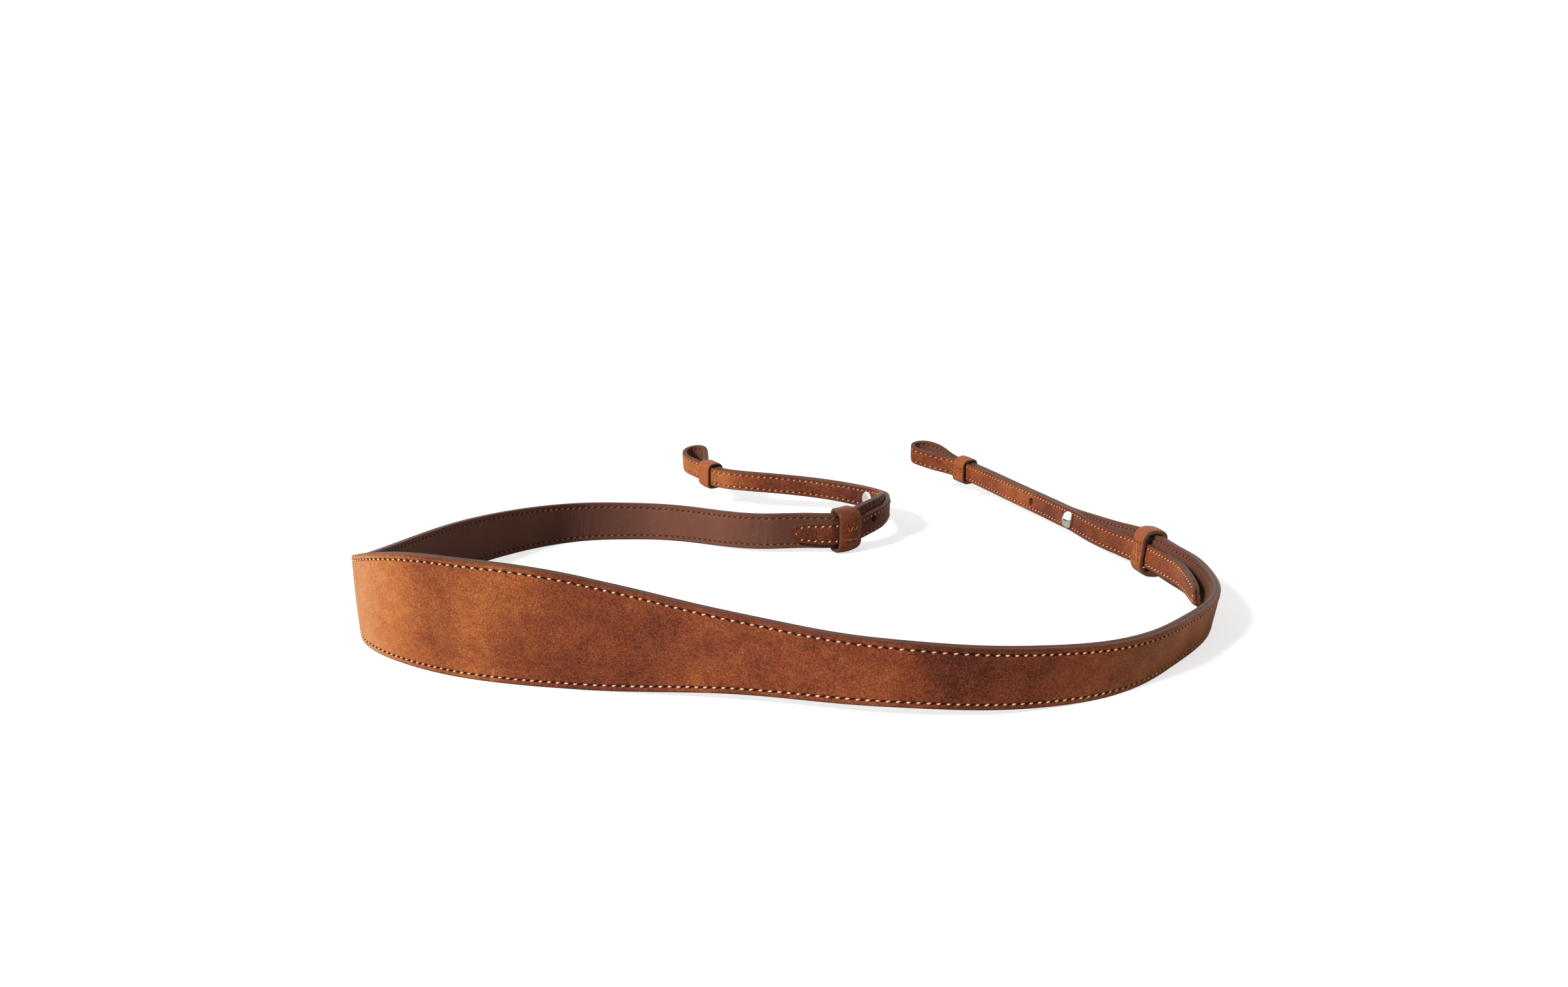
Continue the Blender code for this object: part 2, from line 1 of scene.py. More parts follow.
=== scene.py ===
"""Looks of the leather camera neck strap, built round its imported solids.

The sizes and tables are those of the part's source, in millimetres, and MM turns them into the
frame's metres. A place on the strap is its distance from the middle of the shoulder pad, negative
to the left. A run is the distance along the whole band, from the left tongue's tip to the right's.
"""

import json
import logging
import math
from collections.abc import Callable, Sequence
from dataclasses import dataclass, field
from enum import Enum
from typing import NamedTuple

import bpy
import numpy as np
from bpy.types import Material, Mesh, Object
from mathutils import Matrix

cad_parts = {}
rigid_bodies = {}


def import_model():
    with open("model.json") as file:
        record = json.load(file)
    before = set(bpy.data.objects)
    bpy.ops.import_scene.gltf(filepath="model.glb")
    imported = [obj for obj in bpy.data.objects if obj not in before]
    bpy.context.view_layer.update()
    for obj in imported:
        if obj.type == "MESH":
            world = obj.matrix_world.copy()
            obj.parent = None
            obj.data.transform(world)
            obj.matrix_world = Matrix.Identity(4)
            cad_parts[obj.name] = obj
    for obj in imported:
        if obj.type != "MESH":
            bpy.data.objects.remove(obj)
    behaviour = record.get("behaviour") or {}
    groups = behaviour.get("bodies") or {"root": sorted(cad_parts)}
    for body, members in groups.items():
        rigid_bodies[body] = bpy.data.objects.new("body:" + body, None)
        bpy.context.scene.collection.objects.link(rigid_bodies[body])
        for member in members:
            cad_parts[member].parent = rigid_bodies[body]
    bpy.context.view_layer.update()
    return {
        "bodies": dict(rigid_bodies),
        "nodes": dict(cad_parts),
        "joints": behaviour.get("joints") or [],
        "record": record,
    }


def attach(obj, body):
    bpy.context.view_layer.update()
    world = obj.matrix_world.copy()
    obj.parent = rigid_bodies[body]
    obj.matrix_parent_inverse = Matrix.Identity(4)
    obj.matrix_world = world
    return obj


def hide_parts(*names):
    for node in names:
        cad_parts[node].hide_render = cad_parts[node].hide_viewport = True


MM = 0.001
LOG = logging.getLogger("neck_strap")

Array = np.ndarray
Colour = tuple[float, float, float]
Vector3 = tuple[float, float, float]
Stop = tuple[float, Colour]
BLACK = (0.0, 0.0, 0.0)
WHITE = (1.0, 1.0, 1.0)

# The two layers of leather on the strap and on the tongues
LAYER_THICK = 1.25
TONGUE_LAYER_THICK = 1.0
LAYER_GAP = 0.3
STRAP_THICK = 2 * LAYER_THICK + LAYER_GAP
TONGUE_THICK = 2 * TONGUE_LAYER_THICK + LAYER_GAP
TONGUE_WIDTH = 9.0
DOUBLED = TONGUE_THICK + LAYER_GAP
# The width from which the band counts as the full strap
FULL_WIDTH = 16.0
# Where the table of the route has the frame's origin and the middle of the pad
PLAN_ORIGIN = (2.89, 585.09)
PAD_MIDDLE = (-95.5, 444.2)
FINE_STEP = 0.5
# The seam: its pitch, and how far it is from the edge on a tongue and how much more on the strap
STITCH_PITCH = 2.9
STATIONS_PER_STITCH = 4
TONGUE_INSET = 1.55
INSET_MORE = 0.35
# A turn of 20 degrees: the slant of the stitch holes and of the screws' recess
TURN_COS = 0.94
TURN_SIN = 0.34


class Slot(Enum):
    """The record's material slots."""

    GRAIN = "grain_leather"
    LINING = "lining_leather"
    KEEPER = "keeper_leather"
    STUD = "polished_stud"


class Face(Enum):
    """The two sides of the band: which way is out of each layer."""

    GRAIN = 1
    LINING = -1

    @property
    def label(self) -> str:
        """Gives the side's word in the names of pieces."""
        return self.name.lower()


class RouteRow(NamedTuple):
    """A place of the strap's lower edge, its height over the floor, and its lean in degrees."""

    x: float
    y: float
    lift: float
    lean: float


class BowRow(NamedTuple):
    """How the return lies beside the stretch that carries it."""

    place: float
    away: float
    below: float
    turn: float


ROUTE = tuple(
    RouteRow(*row)
    for row in (
        (-41.5, 778.0, 20.0, 4.0), (-43.9, 769.0, 18.7, 4.0), (-45.2, 758.0, 16.5, 4.0),
        (-44.4, 746.5, 14.0, 3.0), (-40.9, 734.0, 12.0, 2.0), (-34.0, 722.5, 10.7, 2.0),
        (-22.0, 715.2, 10.1, 2.0), (-6.3, 713.2, 9.1, 2.0), (10.9, 711.0, 7.7, 2.0),
        (24.5, 705.0, 6.8, 2.0), (33.2, 699.6, 6.0, 2.0), (38.2, 694.5, 5.6, 1.5),
        (42.4, 688.0, 5.3, 0.5), (44.2, 682.2, 5.4, -1.0), (44.2, 673.5, 5.8, -2.0),
        (43.6, 664.0, 6.5, -3.0), (42.0, 653.0, 6.9, -4.0), (38.8, 643.6, 6.1, -4.0),
        (34.3, 637.2, 4.8, -4.0), (29.5, 630.8, 3.4, -4.0), (25.2, 624.8, 2.6, -4.0),
        (19.9, 620.8, 2.4, -3.5), (11.4, 620.6, 2.4, -3.0), (-7.9, 621.4, 1.8, -2.0),
        (-28.9, 633.7, 0.6, 0.0), (-52.5, 647.4, 0.0, 0.0), (-70.0, 648.8, 0.0, 0.0),
        (-87.0, 646.1, 0.0, 0.0), (-103.0, 635.4, 0.0, 1.0), (-117.5, 617.4, 0.0, 1.0),
        (-131.0, 592.0, 0.0, 1.0), (-141.0, 562.0, 0.0, 2.0), (-146.5, 532.0, 0.0, 2.0),
        (-145.6, 504.0, 0.0, 3.0), (-139.1, 483.1, 0.0, 4.0), (-120.6, 460.5, 0.0, 6.0),
        (-101.3, 446.9, 0.0, 7.0), (-75.6, 437.1, 0.0, 7.0), (-59.3, 433.3, 0.0, 6.0),
        (-39.1, 427.7, 1.2, 5.0), (-19.4, 420.4, 3.2, 5.0), (-0.4, 413.7, 4.0, 4.0),
        (18.1, 407.4, 4.2, 6.0), (36.1, 405.2, 3.8, 9.0), (54.4, 406.9, 2.6, 12.0),
        (74.0, 414.5, 0.8, 13.0), (95.1, 426.2, 0.0, 15.0), (109.8, 440.0, 0.0, 16.0),
        (122.0, 456.7, 0.0, 16.0), (136.2, 478.5, 0.0, 15.0), (145.3, 497.4, 0.0, 11.0),
        (150.4, 518.0, 0.1, 7.5), (152.2, 534.2, 0.5, 5.5), (152.0, 546.0, 0.9, 5.0),
        (149.6, 559.3, 1.4, 5.5), (144.2, 587.0, 2.5, 6.5), (137.9, 605.5, 3.0, 8.0),
        (131.2, 626.4, 4.6, 8.0), (125.0, 654.4, 5.2, 8.0), (117.6, 680.8, 6.0, 6.0),
        (108.9, 704.5, 7.6, 4.0), (100.2, 730.0, 9.3, -1.0), (91.8, 746.8, 11.0, -6.0),
        (85.8, 752.8, 12.6, -9.0), (78.8, 759.0, 14.7, -12.0), (71.0, 766.0, 16.8, -13.0),
        (63.0, 773.5, 18.8, -13.0),
    )
)

# (distance from the middle of the pad, width)
PAD = (
    (-20.0, 38.2), (0.0, 39.0), (20.0, 38.2), (38.0, 35.4), (57.0, 31.2), (77.0, 26.4),
    (97.0, 22.9), (117.0, 20.9), (137.0, 20.0), (170.0, 19.5), (205.0, 18.4), (240.0, 17.0),
    (280.0, 15.9), (330.0, 15.1), (370.0, 14.9), (440.0, 14.9),
)

# (distance from the tongue's end, width)
TIP = (
    (0.0, 5.4), (0.5, 6.4), (1.4, 7.1), (3.0, 7.8), (7.0, 9.0), (13.0, 9.7), (30.0, 9.7),
    (60.0, 9.4), (100.0, TONGUE_WIDTH),
)

# (along the route past the place where the loop opens, across it to the grain side)
LOOP = (
    (-8.0, 0.0), (-4.0, 0.0), (0.0, 0.1), (5.0, 1.2), (10.5, 3.4), (16.0, 4.9), (21.0, 4.7),
    (25.0, 2.3), (26.2, -1.5), (24.0, -4.6), (18.5, -5.4), (12.0, -4.9), (5.5, -3.5),
    (0.0, -DOUBLED), (-4.0, -DOUBLED), (-8.0, -DOUBLED),
)


@dataclass(frozen=True)
class StrapEnd:
    """What differs between the two ends of the strap.

    Every place is from the middle of the pad, and the last two say how tan the keepers are.
    """

    label: str
    side: int
    large_keeper: float
    small_keeper: float
    loop: float
    stud: float
    free_hole: float
    tip: float
    narrows: float
    narrow: float
    bow: tuple[BowRow, ...]
    large_tan: float = 0.56
    small_tan: float = 0.56


LEFT = StrapEnd(
    label="left",
    side=-1,
    large_keeper=363.5,
    small_keeper=526.7,
    loop=533.2,
    stud=437.0,
    free_hole=382.0,
    tip=341.5,
    narrows=352.0,
    narrow=465.0,
    bow=tuple(
        BowRow(*row)
        for row in (
            (300.0, 0.3, 0.7, 0.0), (343.0, 0.3, 0.5, 0.0), (355.0, 0.2, 0.5, 0.0),
            (363.5, 0.1, 0.8, 0.0), (374.0, 0.1, 1.3, 0.0), (384.0, 0.1, 1.5, 0.0),
            (397.0, 0.1, 1.4, 0.0), (415.0, 0.1, 0.8, 0.0), (428.0, 0.0, 0.15, 0.0),
            (438.0, 0.0, 0.0, 0.0), (448.0, 0.0, 0.0, 0.0), (465.0, 0.0, 0.0, 0.0),
            (500.0, 0.0, 0.0, 0.0), (600.0, 0.0, 0.0, 0.0),
        )
    ),
    large_tan=0.3,
    small_tan=0.64,
)
RIGHT = StrapEnd(
    label="right",
    side=1,
    large_keeper=373.0,
    small_keeper=547.0,
    loop=553.5,
    stud=436.0,
    free_hole=478.0,
    tip=304.0,
    narrows=372.0,
    narrow=452.0,
    bow=tuple(
        BowRow(*row)
        for row in (
            (290.0, 1.7, 0.0, 15.0), (304.0, 1.7, 0.0, 15.0), (318.0, 2.1, -0.2, 14.0),
            (335.0, 1.7, -0.1, 10.0), (355.0, 0.8, 0.6, 4.0), (373.0, 0.4, 1.4, 0.0),
            (400.0, 0.7, 1.2, 0.0), (421.0, 0.4, 0.7, 0.0), (436.0, 0.0, 0.0, 0.0),
            (446.0, 0.0, 0.0, 0.0), (465.0, 0.0, 0.0, 0.0), (500.0, 0.0, 0.0, 0.0),
            (600.0, 0.0, 0.0, 0.0),
        )
    ),
)
ENDS = (LEFT, RIGHT)


def smooth_curve(knots: Sequence[float], values: Sequence) -> Callable[[Array], Array]:
    """Makes the natural cubic spline through values at knots.

    Args:
        knots: rising places.
        values: a number or a row of numbers for each knot.

    Returns:
        The spline as a function of places.
    """
    knots = np.asarray(knots, float)
    values = np.asarray(values, float)
    spans = np.diff(knots)
    slopes = (np.diff(values, axis=0).T / spans).T
    last = len(knots) - 1
    system = np.eye(last + 1)
    pull = np.zeros_like(values)
    for row in range(1, last):
        system[row, row - 1] = spans[row - 1]
        system[row, row] = 2 * (spans[row - 1] + spans[row])
        system[row, row + 1] = spans[row]
        pull[row] = 6 * (slopes[row] - slopes[row - 1])
    bend = np.linalg.solve(system, pull)

    def at(places: Array) -> Array:
        """Reads the spline at places.

        Args:
            places: where to read it.

        Returns:
            A value for each place.
        """
        places = np.asarray(places, float)
        span = np.clip(np.searchsorted(knots, places) - 1, 0, last - 1)
        width = spans[span]
        after = (places - knots[span]) / width
        before = 1 - after
        if values.ndim == 2:
            width, after, before = (column[..., None] for column in (width, after, before))
        bent = (before**3 - before) * bend[span] + (after**3 - after) * bend[span + 1]
        return before * values[span] + after * values[span + 1] + bent * width**2 / 6

    return at


def unit(vectors: Array) -> Array:
    """Scales rows of vectors to length one."""
    return vectors / np.linalg.norm(vectors, axis=-1, keepdims=True)


def running_length(points: Array) -> Array:
    """Measures the distance along a row of points, up to each of them."""
    return np.concatenate([[0.0], np.cumsum(np.linalg.norm(np.diff(points, axis=0), axis=1))])


def soft_step(
    values: Array, low: float | Array, high: float | Array
) -> Array:
    """Rises smoothly from 0 at low to 1 at high."""
    share = np.clip((np.asarray(values, float) - low) / (high - low), 0.0, 1.0)
    return share * share * (3 - 2 * share)


@dataclass(frozen=True)
class Frames:
    """Points on the strap's middle surface with unit vectors along, up across it and out."""

    points: Array
    along: Array
    up: Array
    out: Array

    def shifted(self, across: Array, height: Array) -> Array:
        """Gives the points moved across the strap and out of it, in millimetres."""
        return self.points + across[..., None] * self.up + height[..., None] * self.out


@dataclass(frozen=True)
class Stations:
    """A stretch of the band: its points, their up vectors, widths and layer thicknesses."""

    points: Array
    up: Array
    widths: Array
    layers: Array

    def turned_round(self) -> "Stations":
        """Gives the same stretch run the other way."""
        return Stations(self.points[::-1], self.up[::-1], self.widths[::-1], self.layers[::-1])


@dataclass
class StrapRoute:
    """The strap from one lug loop to the other, by the distance from the middle of the pad."""

    rows: Array = field(init=False)
    places: Array = field(init=False)
    pad: Callable[[Array], Array] = field(init=False)

    def __post_init__(self) -> None:
        """Runs one smooth curve through the table and measures it from the pad's middle."""
        table = np.array(ROUTE)
        knots = running_length(table[:, :2])
        self.rows = smooth_curve(knots, table)(np.arange(0.0, knots[-1], FINE_STEP))
        places = running_length(self.rows[:, :2])
        middle = np.argmin(np.linalg.norm(self.rows[:, :2] - PAD_MIDDLE, axis=1))
        self.places = places - places[middle]
        lift = RouteRow._fields.index("lift")
        self.rows[:, lift] = self.rows[:, lift].clip(min=0.0)
        self.pad = smooth_curve(*zip(*PAD))

    def narrowed(self, places: Array) -> Array:
        """Tells how far the strap has narrowed to a tongue, from 0 to 1.

        Args:
            places: distances from the middle of the pad.

        Returns:
            The share at each place.
        """
        places = np.asarray(places, float)
        narrows = np.where(places < 0, LEFT.narrows, RIGHT.narrows)
        narrow = np.where(places < 0, LEFT.narrow, RIGHT.narrow)
        return soft_step(np.abs(places), narrows, narrow)

    def width(self, places: Array) -> Array:
        """Gives the strap's width, pad and tongues included."""
        pad = self.pad(np.clip(np.abs(places), 0.0, PAD[-1][0]))
        return pad + (TONGUE_WIDTH - pad) * self.narrowed(places)

    def layer_thick(self, places: Array) -> Array:
        """Gives the thickness of one layer of leather."""
        return LAYER_THICK + (TONGUE_LAYER_THICK - LAYER_THICK) * self.narrowed(places)

    def column(self, name: str, places: Array) -> Array:
        """Reads one column of the route's table along the strap."""
        return np.interp(places, self.places, self.rows[:, RouteRow._fields.index(name)])

    def centre(self, places: Array) -> Array:
        """Gives the middle of the strap over its lower edge, moved aside by its lean.

        Args:
            places: distances from the middle of the pad.

        Returns:
            One point for each place.
        """
        lean = np.radians(self.column("lean", places))
        heading = np.gradient(self.rows[:, :2], axis=0)
        side_x = np.interp(places, self.places, heading[:, 1])
        side_y = -np.interp(places, self.places, heading[:, 0])
        half = self.width(places) / 2
        reach = half * np.sin(lean) / np.hypot(side_x, side_y)
        x = self.column("x", places) + reach * side_x - PLAN_ORIGIN[0]
        y = self.column("y", places) + reach * side_y - PLAN_ORIGIN[1]
        z = self.column("lift", places) + half * np.cos(lean)
        z = z + STRAP_THICK / 2 * np.abs(np.sin(lean))
        return np.stack([x, y, z], axis=1)

    def frames(self, places: Array) -> Frames:
        """Gives the strap's own frames at places.

        Args:
            places: distances from the middle of the pad.

        Returns:
            The frames.
        """
        places = np.atleast_1d(np.asarray(places, float))
        lean = np.radians(self.column("lean", places))[:, None]
        along = unit(self.centre(places + FINE_STEP) - self.centre(places - FINE_STEP))
        level = unit(np.cross(along, (0.0, 0.0, 1.0)))
        upright = np.cross(level, along)
        up = np.cos(lean) * upright + np.sin(lean) * level
        out = np.cos(lean) * level - np.sin(lean) * upright
        return Frames(self.centre(places), along, up, out)

    def return_frames(self, end: StrapEnd, places: Array) -> Frames:
        """Gives the frames of the return that lies on the strap at these places.

        Args:
            end: which end's return.
            places: distances from the middle of the pad, without sign.

        Returns:
            The frames.
        """
        carrier = self.frames(end.side * places)
        bow = np.array(end.bow)
        away, below, turn = smooth_curve(bow[:, 0], bow[:, 1:])(places).T[:, :, None]
        thick = 2 * self.layer_thick(end.side * places)[:, None] + LAYER_GAP
        off = (thick + TONGUE_THICK) / 2 + LAYER_GAP + away
        turn = np.radians(turn)
        up = np.cos(turn) * carrier.up - np.sin(turn) * carrier.out
        out = np.cos(turn) * carrier.out + np.sin(turn) * carrier.up
        points = carrier.points - off * carrier.out - below * carrier.up
        return Frames(points, carrier.along, up, out)

    def main_stretch(self) -> Stations:
        """Gives the stations between the two loops.

        Returns:
            The stations.
        """
        places = np.arange(-LEFT.loop, RIGHT.loop, FINE_STEP)
        frames = self.frames(places)
        return Stations(frames.points, frames.up, self.width(places), self.layer_thick(places))

    def loop_stretch(self, end: StrapEnd) -> Stations:
        """Gives the stations of the turn round a lug, from the outward stretch to the return.

        Args:
            end: which end's lug.

        Returns:
            The stations.
        """
        rows = np.array(LOOP)
        knots = running_length(rows)
        fine = smooth_curve(knots, rows)(np.arange(knots[2], knots[-3], FINE_STEP))
        frames = self.frames(end.side * (end.loop + fine[:, 0]))
        points = frames.shifted(np.zeros(len(fine)), fine[:, 1])
        widths = np.full(len(fine), TONGUE_WIDTH)
        return Stations(points, frames.up, widths, np.full(len(fine), TONGUE_LAYER_THICK))

    def return_stretch(self, end: StrapEnd) -> Stations:
        """Gives the stations of the return, from the lug loop to the tip.

        Args:
            end: which end's return.

        Returns:
            The stations.
        """
        places = np.arange(end.loop, end.tip - FINE_STEP / 4, -FINE_STEP / 2)
        frames = self.return_frames(end, places)
        widths = np.interp(places - end.tip, *zip(*TIP))
        return Stations(frames.points, frames.up, widths, np.full(len(places), TONGUE_LAYER_THICK))


@dataclass
class Band:
    """The whole band from tip to tip, by its run in millimetres from the left tip."""

    route: StrapRoute
    length: float = field(init=False)
    stitches: int = field(init=False)
    pitch: float = field(init=False)
    runs: Array = field(init=False)
    table: dict[str, Array] = field(init=False)
    smoothed_over: int = 9

    def __post_init__(self) -> None:
        """Joins the five stretches and sets out the stitches evenly over their length."""
        stretches = (
            self.route.return_stretch(LEFT).turned_round(),
            self.route.loop_stretch(LEFT).turned_round(),
            self.route.main_stretch(),
            self.route.loop_stretch(RIGHT),
            self.route.return_stretch(RIGHT),
        )
        points = np.concatenate([stretch.points for stretch in stretches])
        up = np.concatenate([stretch.up for stretch in stretches])
        along = unit(np.gradient(points, axis=0))
        up = unit(up - (up * along).sum(axis=1, keepdims=True) * along)
        out = np.cross(along, up)
        self.runs = running_length(points)
        self.length = float(self.runs[-1])
        self.stitches = round(self.length / STITCH_PITCH)
        self.pitch = self.length / self.stitches
        turning = np.gradient(along, axis=0) / np.gradient(self.runs)[:, None]
        bend = -(turning * out).sum(axis=1)
        window = np.full(self.smoothed_over, 1 / self.smoothed_over)
        self.table = {
            "points": points,
            "up": up,
            "out": out,
            "width": np.concatenate([stretch.widths for stretch in stretches]),
            "layer": np.concatenate([stretch.layers for stretch in stretches]),
            "bend": np.convolve(bend, window, mode="same"),
        }

    def read(self, name: str, runs: Array) -> Array:
        """Reads one column of the band's table at runs.

        Args:
            name: the column.
            runs: distances from the left tip.

        Returns:
            A number or a vector for each run.
        """
        column = self.table[name]
        if column.ndim == 1:
            return np.interp(runs, self.runs, column)
        return np.stack([np.interp(runs, self.runs, part) for part in column.T], axis=-1)

    def surface(self, runs: Array, across: Array, height: Array) -> Array:
        """Finds points on the band.

        Args:
            runs: distances from the left tip.
            across: distances up from the middle of the width.
            height: distances out from the seam to the grain side.

        Returns:
            The points in millimetres.
        """
        up = unit(self.read("up", runs))
        out = unit(self.read("out", runs))
        return self.read("points", runs) + across[..., None] * up + height[..., None] * out

    def broad(self, runs: Array) -> Array:
        """Tells how far the band is from a tongue, at 0, to the full strap, at 1."""
        return soft_step(self.read("width", runs), TONGUE_WIDTH, FULL_WIDTH)

    def stitch_inset(self, runs: Array) -> Array:
        """Gives how far the seam is from the edge: less on the tongues."""
        return TONGUE_INSET + INSET_MORE * self.broad(runs)


def new_mesh(name: str, points: Array, faces: Sequence[Sequence[int]]) -> Mesh:
    """Makes a smooth-shaded mesh from points in millimetres.

    Args:
        name: the mesh's name.
        points: one row for each vertex.
        faces: rows of vertex numbers.

    Returns:
        The mesh.
    """
    mesh = bpy.data.meshes.new(name)
    mesh.from_pydata((np.asarray(points).reshape(-1, 3) * MM).tolist(), [], faces)
    mesh.update()
    mesh.shade_smooth()
    return mesh


def put_in_scene(name: str, data: bpy.types.ID) -> Object:
    """Makes an object of a mesh, a light or a camera and links it to the scene.

    Args:
        name: the object's name.
        data: what the object shows.

    Returns:
        The object.
    """
    thing = bpy.data.objects.new(name, data)
    bpy.context.scene.collection.objects.link(thing)
    return thing


def new_piece(
    name: str, mesh: Mesh, slot: Slot, *finishes: Material
) -> Object:
    """Puts a mesh in the scene as a piece of the strap.

    Args:
        name: the piece's name.
        mesh: its mesh.
        slot: the record's slot that its finish comes from; not used.
        finishes: its materials, in the order of the mesh's material indices.

    Returns:
        The piece, riding on the part's one body.
    """
    piece = put_in_scene(name, mesh)
    for finish in finishes:
        mesh.materials.append(finish)
    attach(piece, "root")
    LOG.info("%s: %d faces", name, len(mesh.polygons))
    return piece


def grid_faces(rows: int, columns: int, looped: bool = False) -> Array:
    """Lists the quads of a grid of vertices whose rows are closed rings.

    Args:
        rows: how many rows.
        columns: how many vertices in a row.
        looped: whether the last row joins the first.

    Returns:
        One row of four vertex numbers for each quad.
    """
    spans = np.arange(rows if looped else rows - 1)
    row, column = np.meshgrid(spans, np.arange(columns), indexing="ij")
    after = (column + 1) % columns
    start, following = row * columns, (row + 1) % rows * columns
    corners = (start + column, following + column, following + after, start + after)
    return np.stack(corners, axis=-1).reshape(-1, 4)


def write_vectors(mesh: Mesh, **vectors: Array) -> None:
    """Stores vectors for each vertex under the names that materials read.

    Args:
        mesh: the mesh.
        vectors: one row for each vertex, by name.
    """
    for name, values in vectors.items():
        attribute = mesh.attributes.new(name, "FLOAT_VECTOR", "POINT")
        attribute.data.foreach_set("vector", np.asarray(values, np.float32).ravel())


def circle(sides: int) -> Array:
    """Gives the corners of a circle of radius one, as rows of two."""
    turn = np.linspace(0, 2 * np.pi, sides, endpoint=False)
    return np.stack([np.cos(turn), np.sin(turn)], axis=1)


class Value:
    """A socket of a sheet's nodes that takes part in plain arithmetic."""

    def __init__(self, sheet: "NodeSheet", socket: bpy.types.NodeSocket) -> None:
        """Wraps a socket of a sheet."""
        self.sheet = sheet
        self.socket = socket

    def _math(
        self, operation: str, *others: "Value | float", first: "Value | float | None" = None
    ) -> "Value":
        """Adds a Math node.

        Args:
            operation: the node's operation.
            others: its inputs after the first.
            first: its first input, where that isn't this value.

        Returns:
            The node's result.
        """
        inputs = dict(enumerate((self if first is None else first, *others)))
        return self.sheet.add("ShaderNodeMath", {"operation": operation}, inputs)

    def __add__(self, other: "Value | float") -> "Value":
        """Adds."""
        return self._math("ADD", other)

    def __sub__(self, other: "Value | float") -> "Value":
        """Takes away."""
        return self._math("SUBTRACT", other)

    def __rsub__(self, other: float) -> "Value":
        """Takes this away from a number."""
        return self._math("SUBTRACT", self, first=other)

    def __mul__(self, other: "Value | float") -> "Value":
        """Multiplies."""
        return self._math("MULTIPLY", other)

    __radd__ = __add__

    def __truediv__(self, other: "Value | float") -> "Value":
        """Divides."""
        return self._math("DIVIDE", other)

    def __abs__(self) -> "Value":
        """Gives the size without its sign."""
        return self._math("ABSOLUTE")

    def fraction(self) -> "Value":
        """Gives what is past the whole number."""
        return self._math("FRACT")

    def rise(self, low: float, high: float) -> "Value":
        """Rises smoothly from 0 at low to 1 at high.

        Args:
            low: where it is 0.
            high: where it is 1, which may be the lower of the two.

        Returns:
            The share.
        """
        if low > high:
            return 1 - self.rise(high, low)
        inputs = {"Value": self, "From Min": low, "From Max": high}
        return self.sheet.add("ShaderNodeMapRange", {"interpolation_type": "SMOOTHSTEP"}, inputs)


class NodeSheet:
    """A tree of nodes, all added through one method."""

    def __init__(self, tree: bpy.types.NodeTree) -> None:
        """Takes the tree."""
        self.tree = tree

    def add(self, kind: str, settings: dict, inputs: dict, output: int | str = 0) -> Value:
        """Adds a node.

        Args:
            kind: the node's type.
            settings: its properties; "stops" is a ramp's list of (position, colour).
            inputs: values or links by socket name or number.
            output: which result to give.

        Returns:
            The wrapped result.
        """
        node = self.tree.nodes.new(kind)
        for key, setting in settings.items():
            if key == "stops":
                self._set_stops(node.color_ramp, setting)
            else:
                setattr(node, key, setting)
        for key, given in inputs.items():
            if isinstance(given, Value):
                self.tree.links.new(given.socket, node.inputs[key])
            else:
                node.inputs[key].default_value = given
        return Value(self, node.outputs[output])

    @staticmethod
    def _set_stops(ramp: bpy.types.ColorRamp, stops: Sequence[Stop]) -> None:
        """Sets a ramp's stops.

        Args:
            ramp: the ramp.
            stops: rows of position and colour.
        """
        while len(ramp.elements) < len(stops):
            ramp.elements.new(1.0)
        for element, (position, colour) in zip(ramp.elements, stops):
            element.position = position
            element.color = (*colour, 1.0)


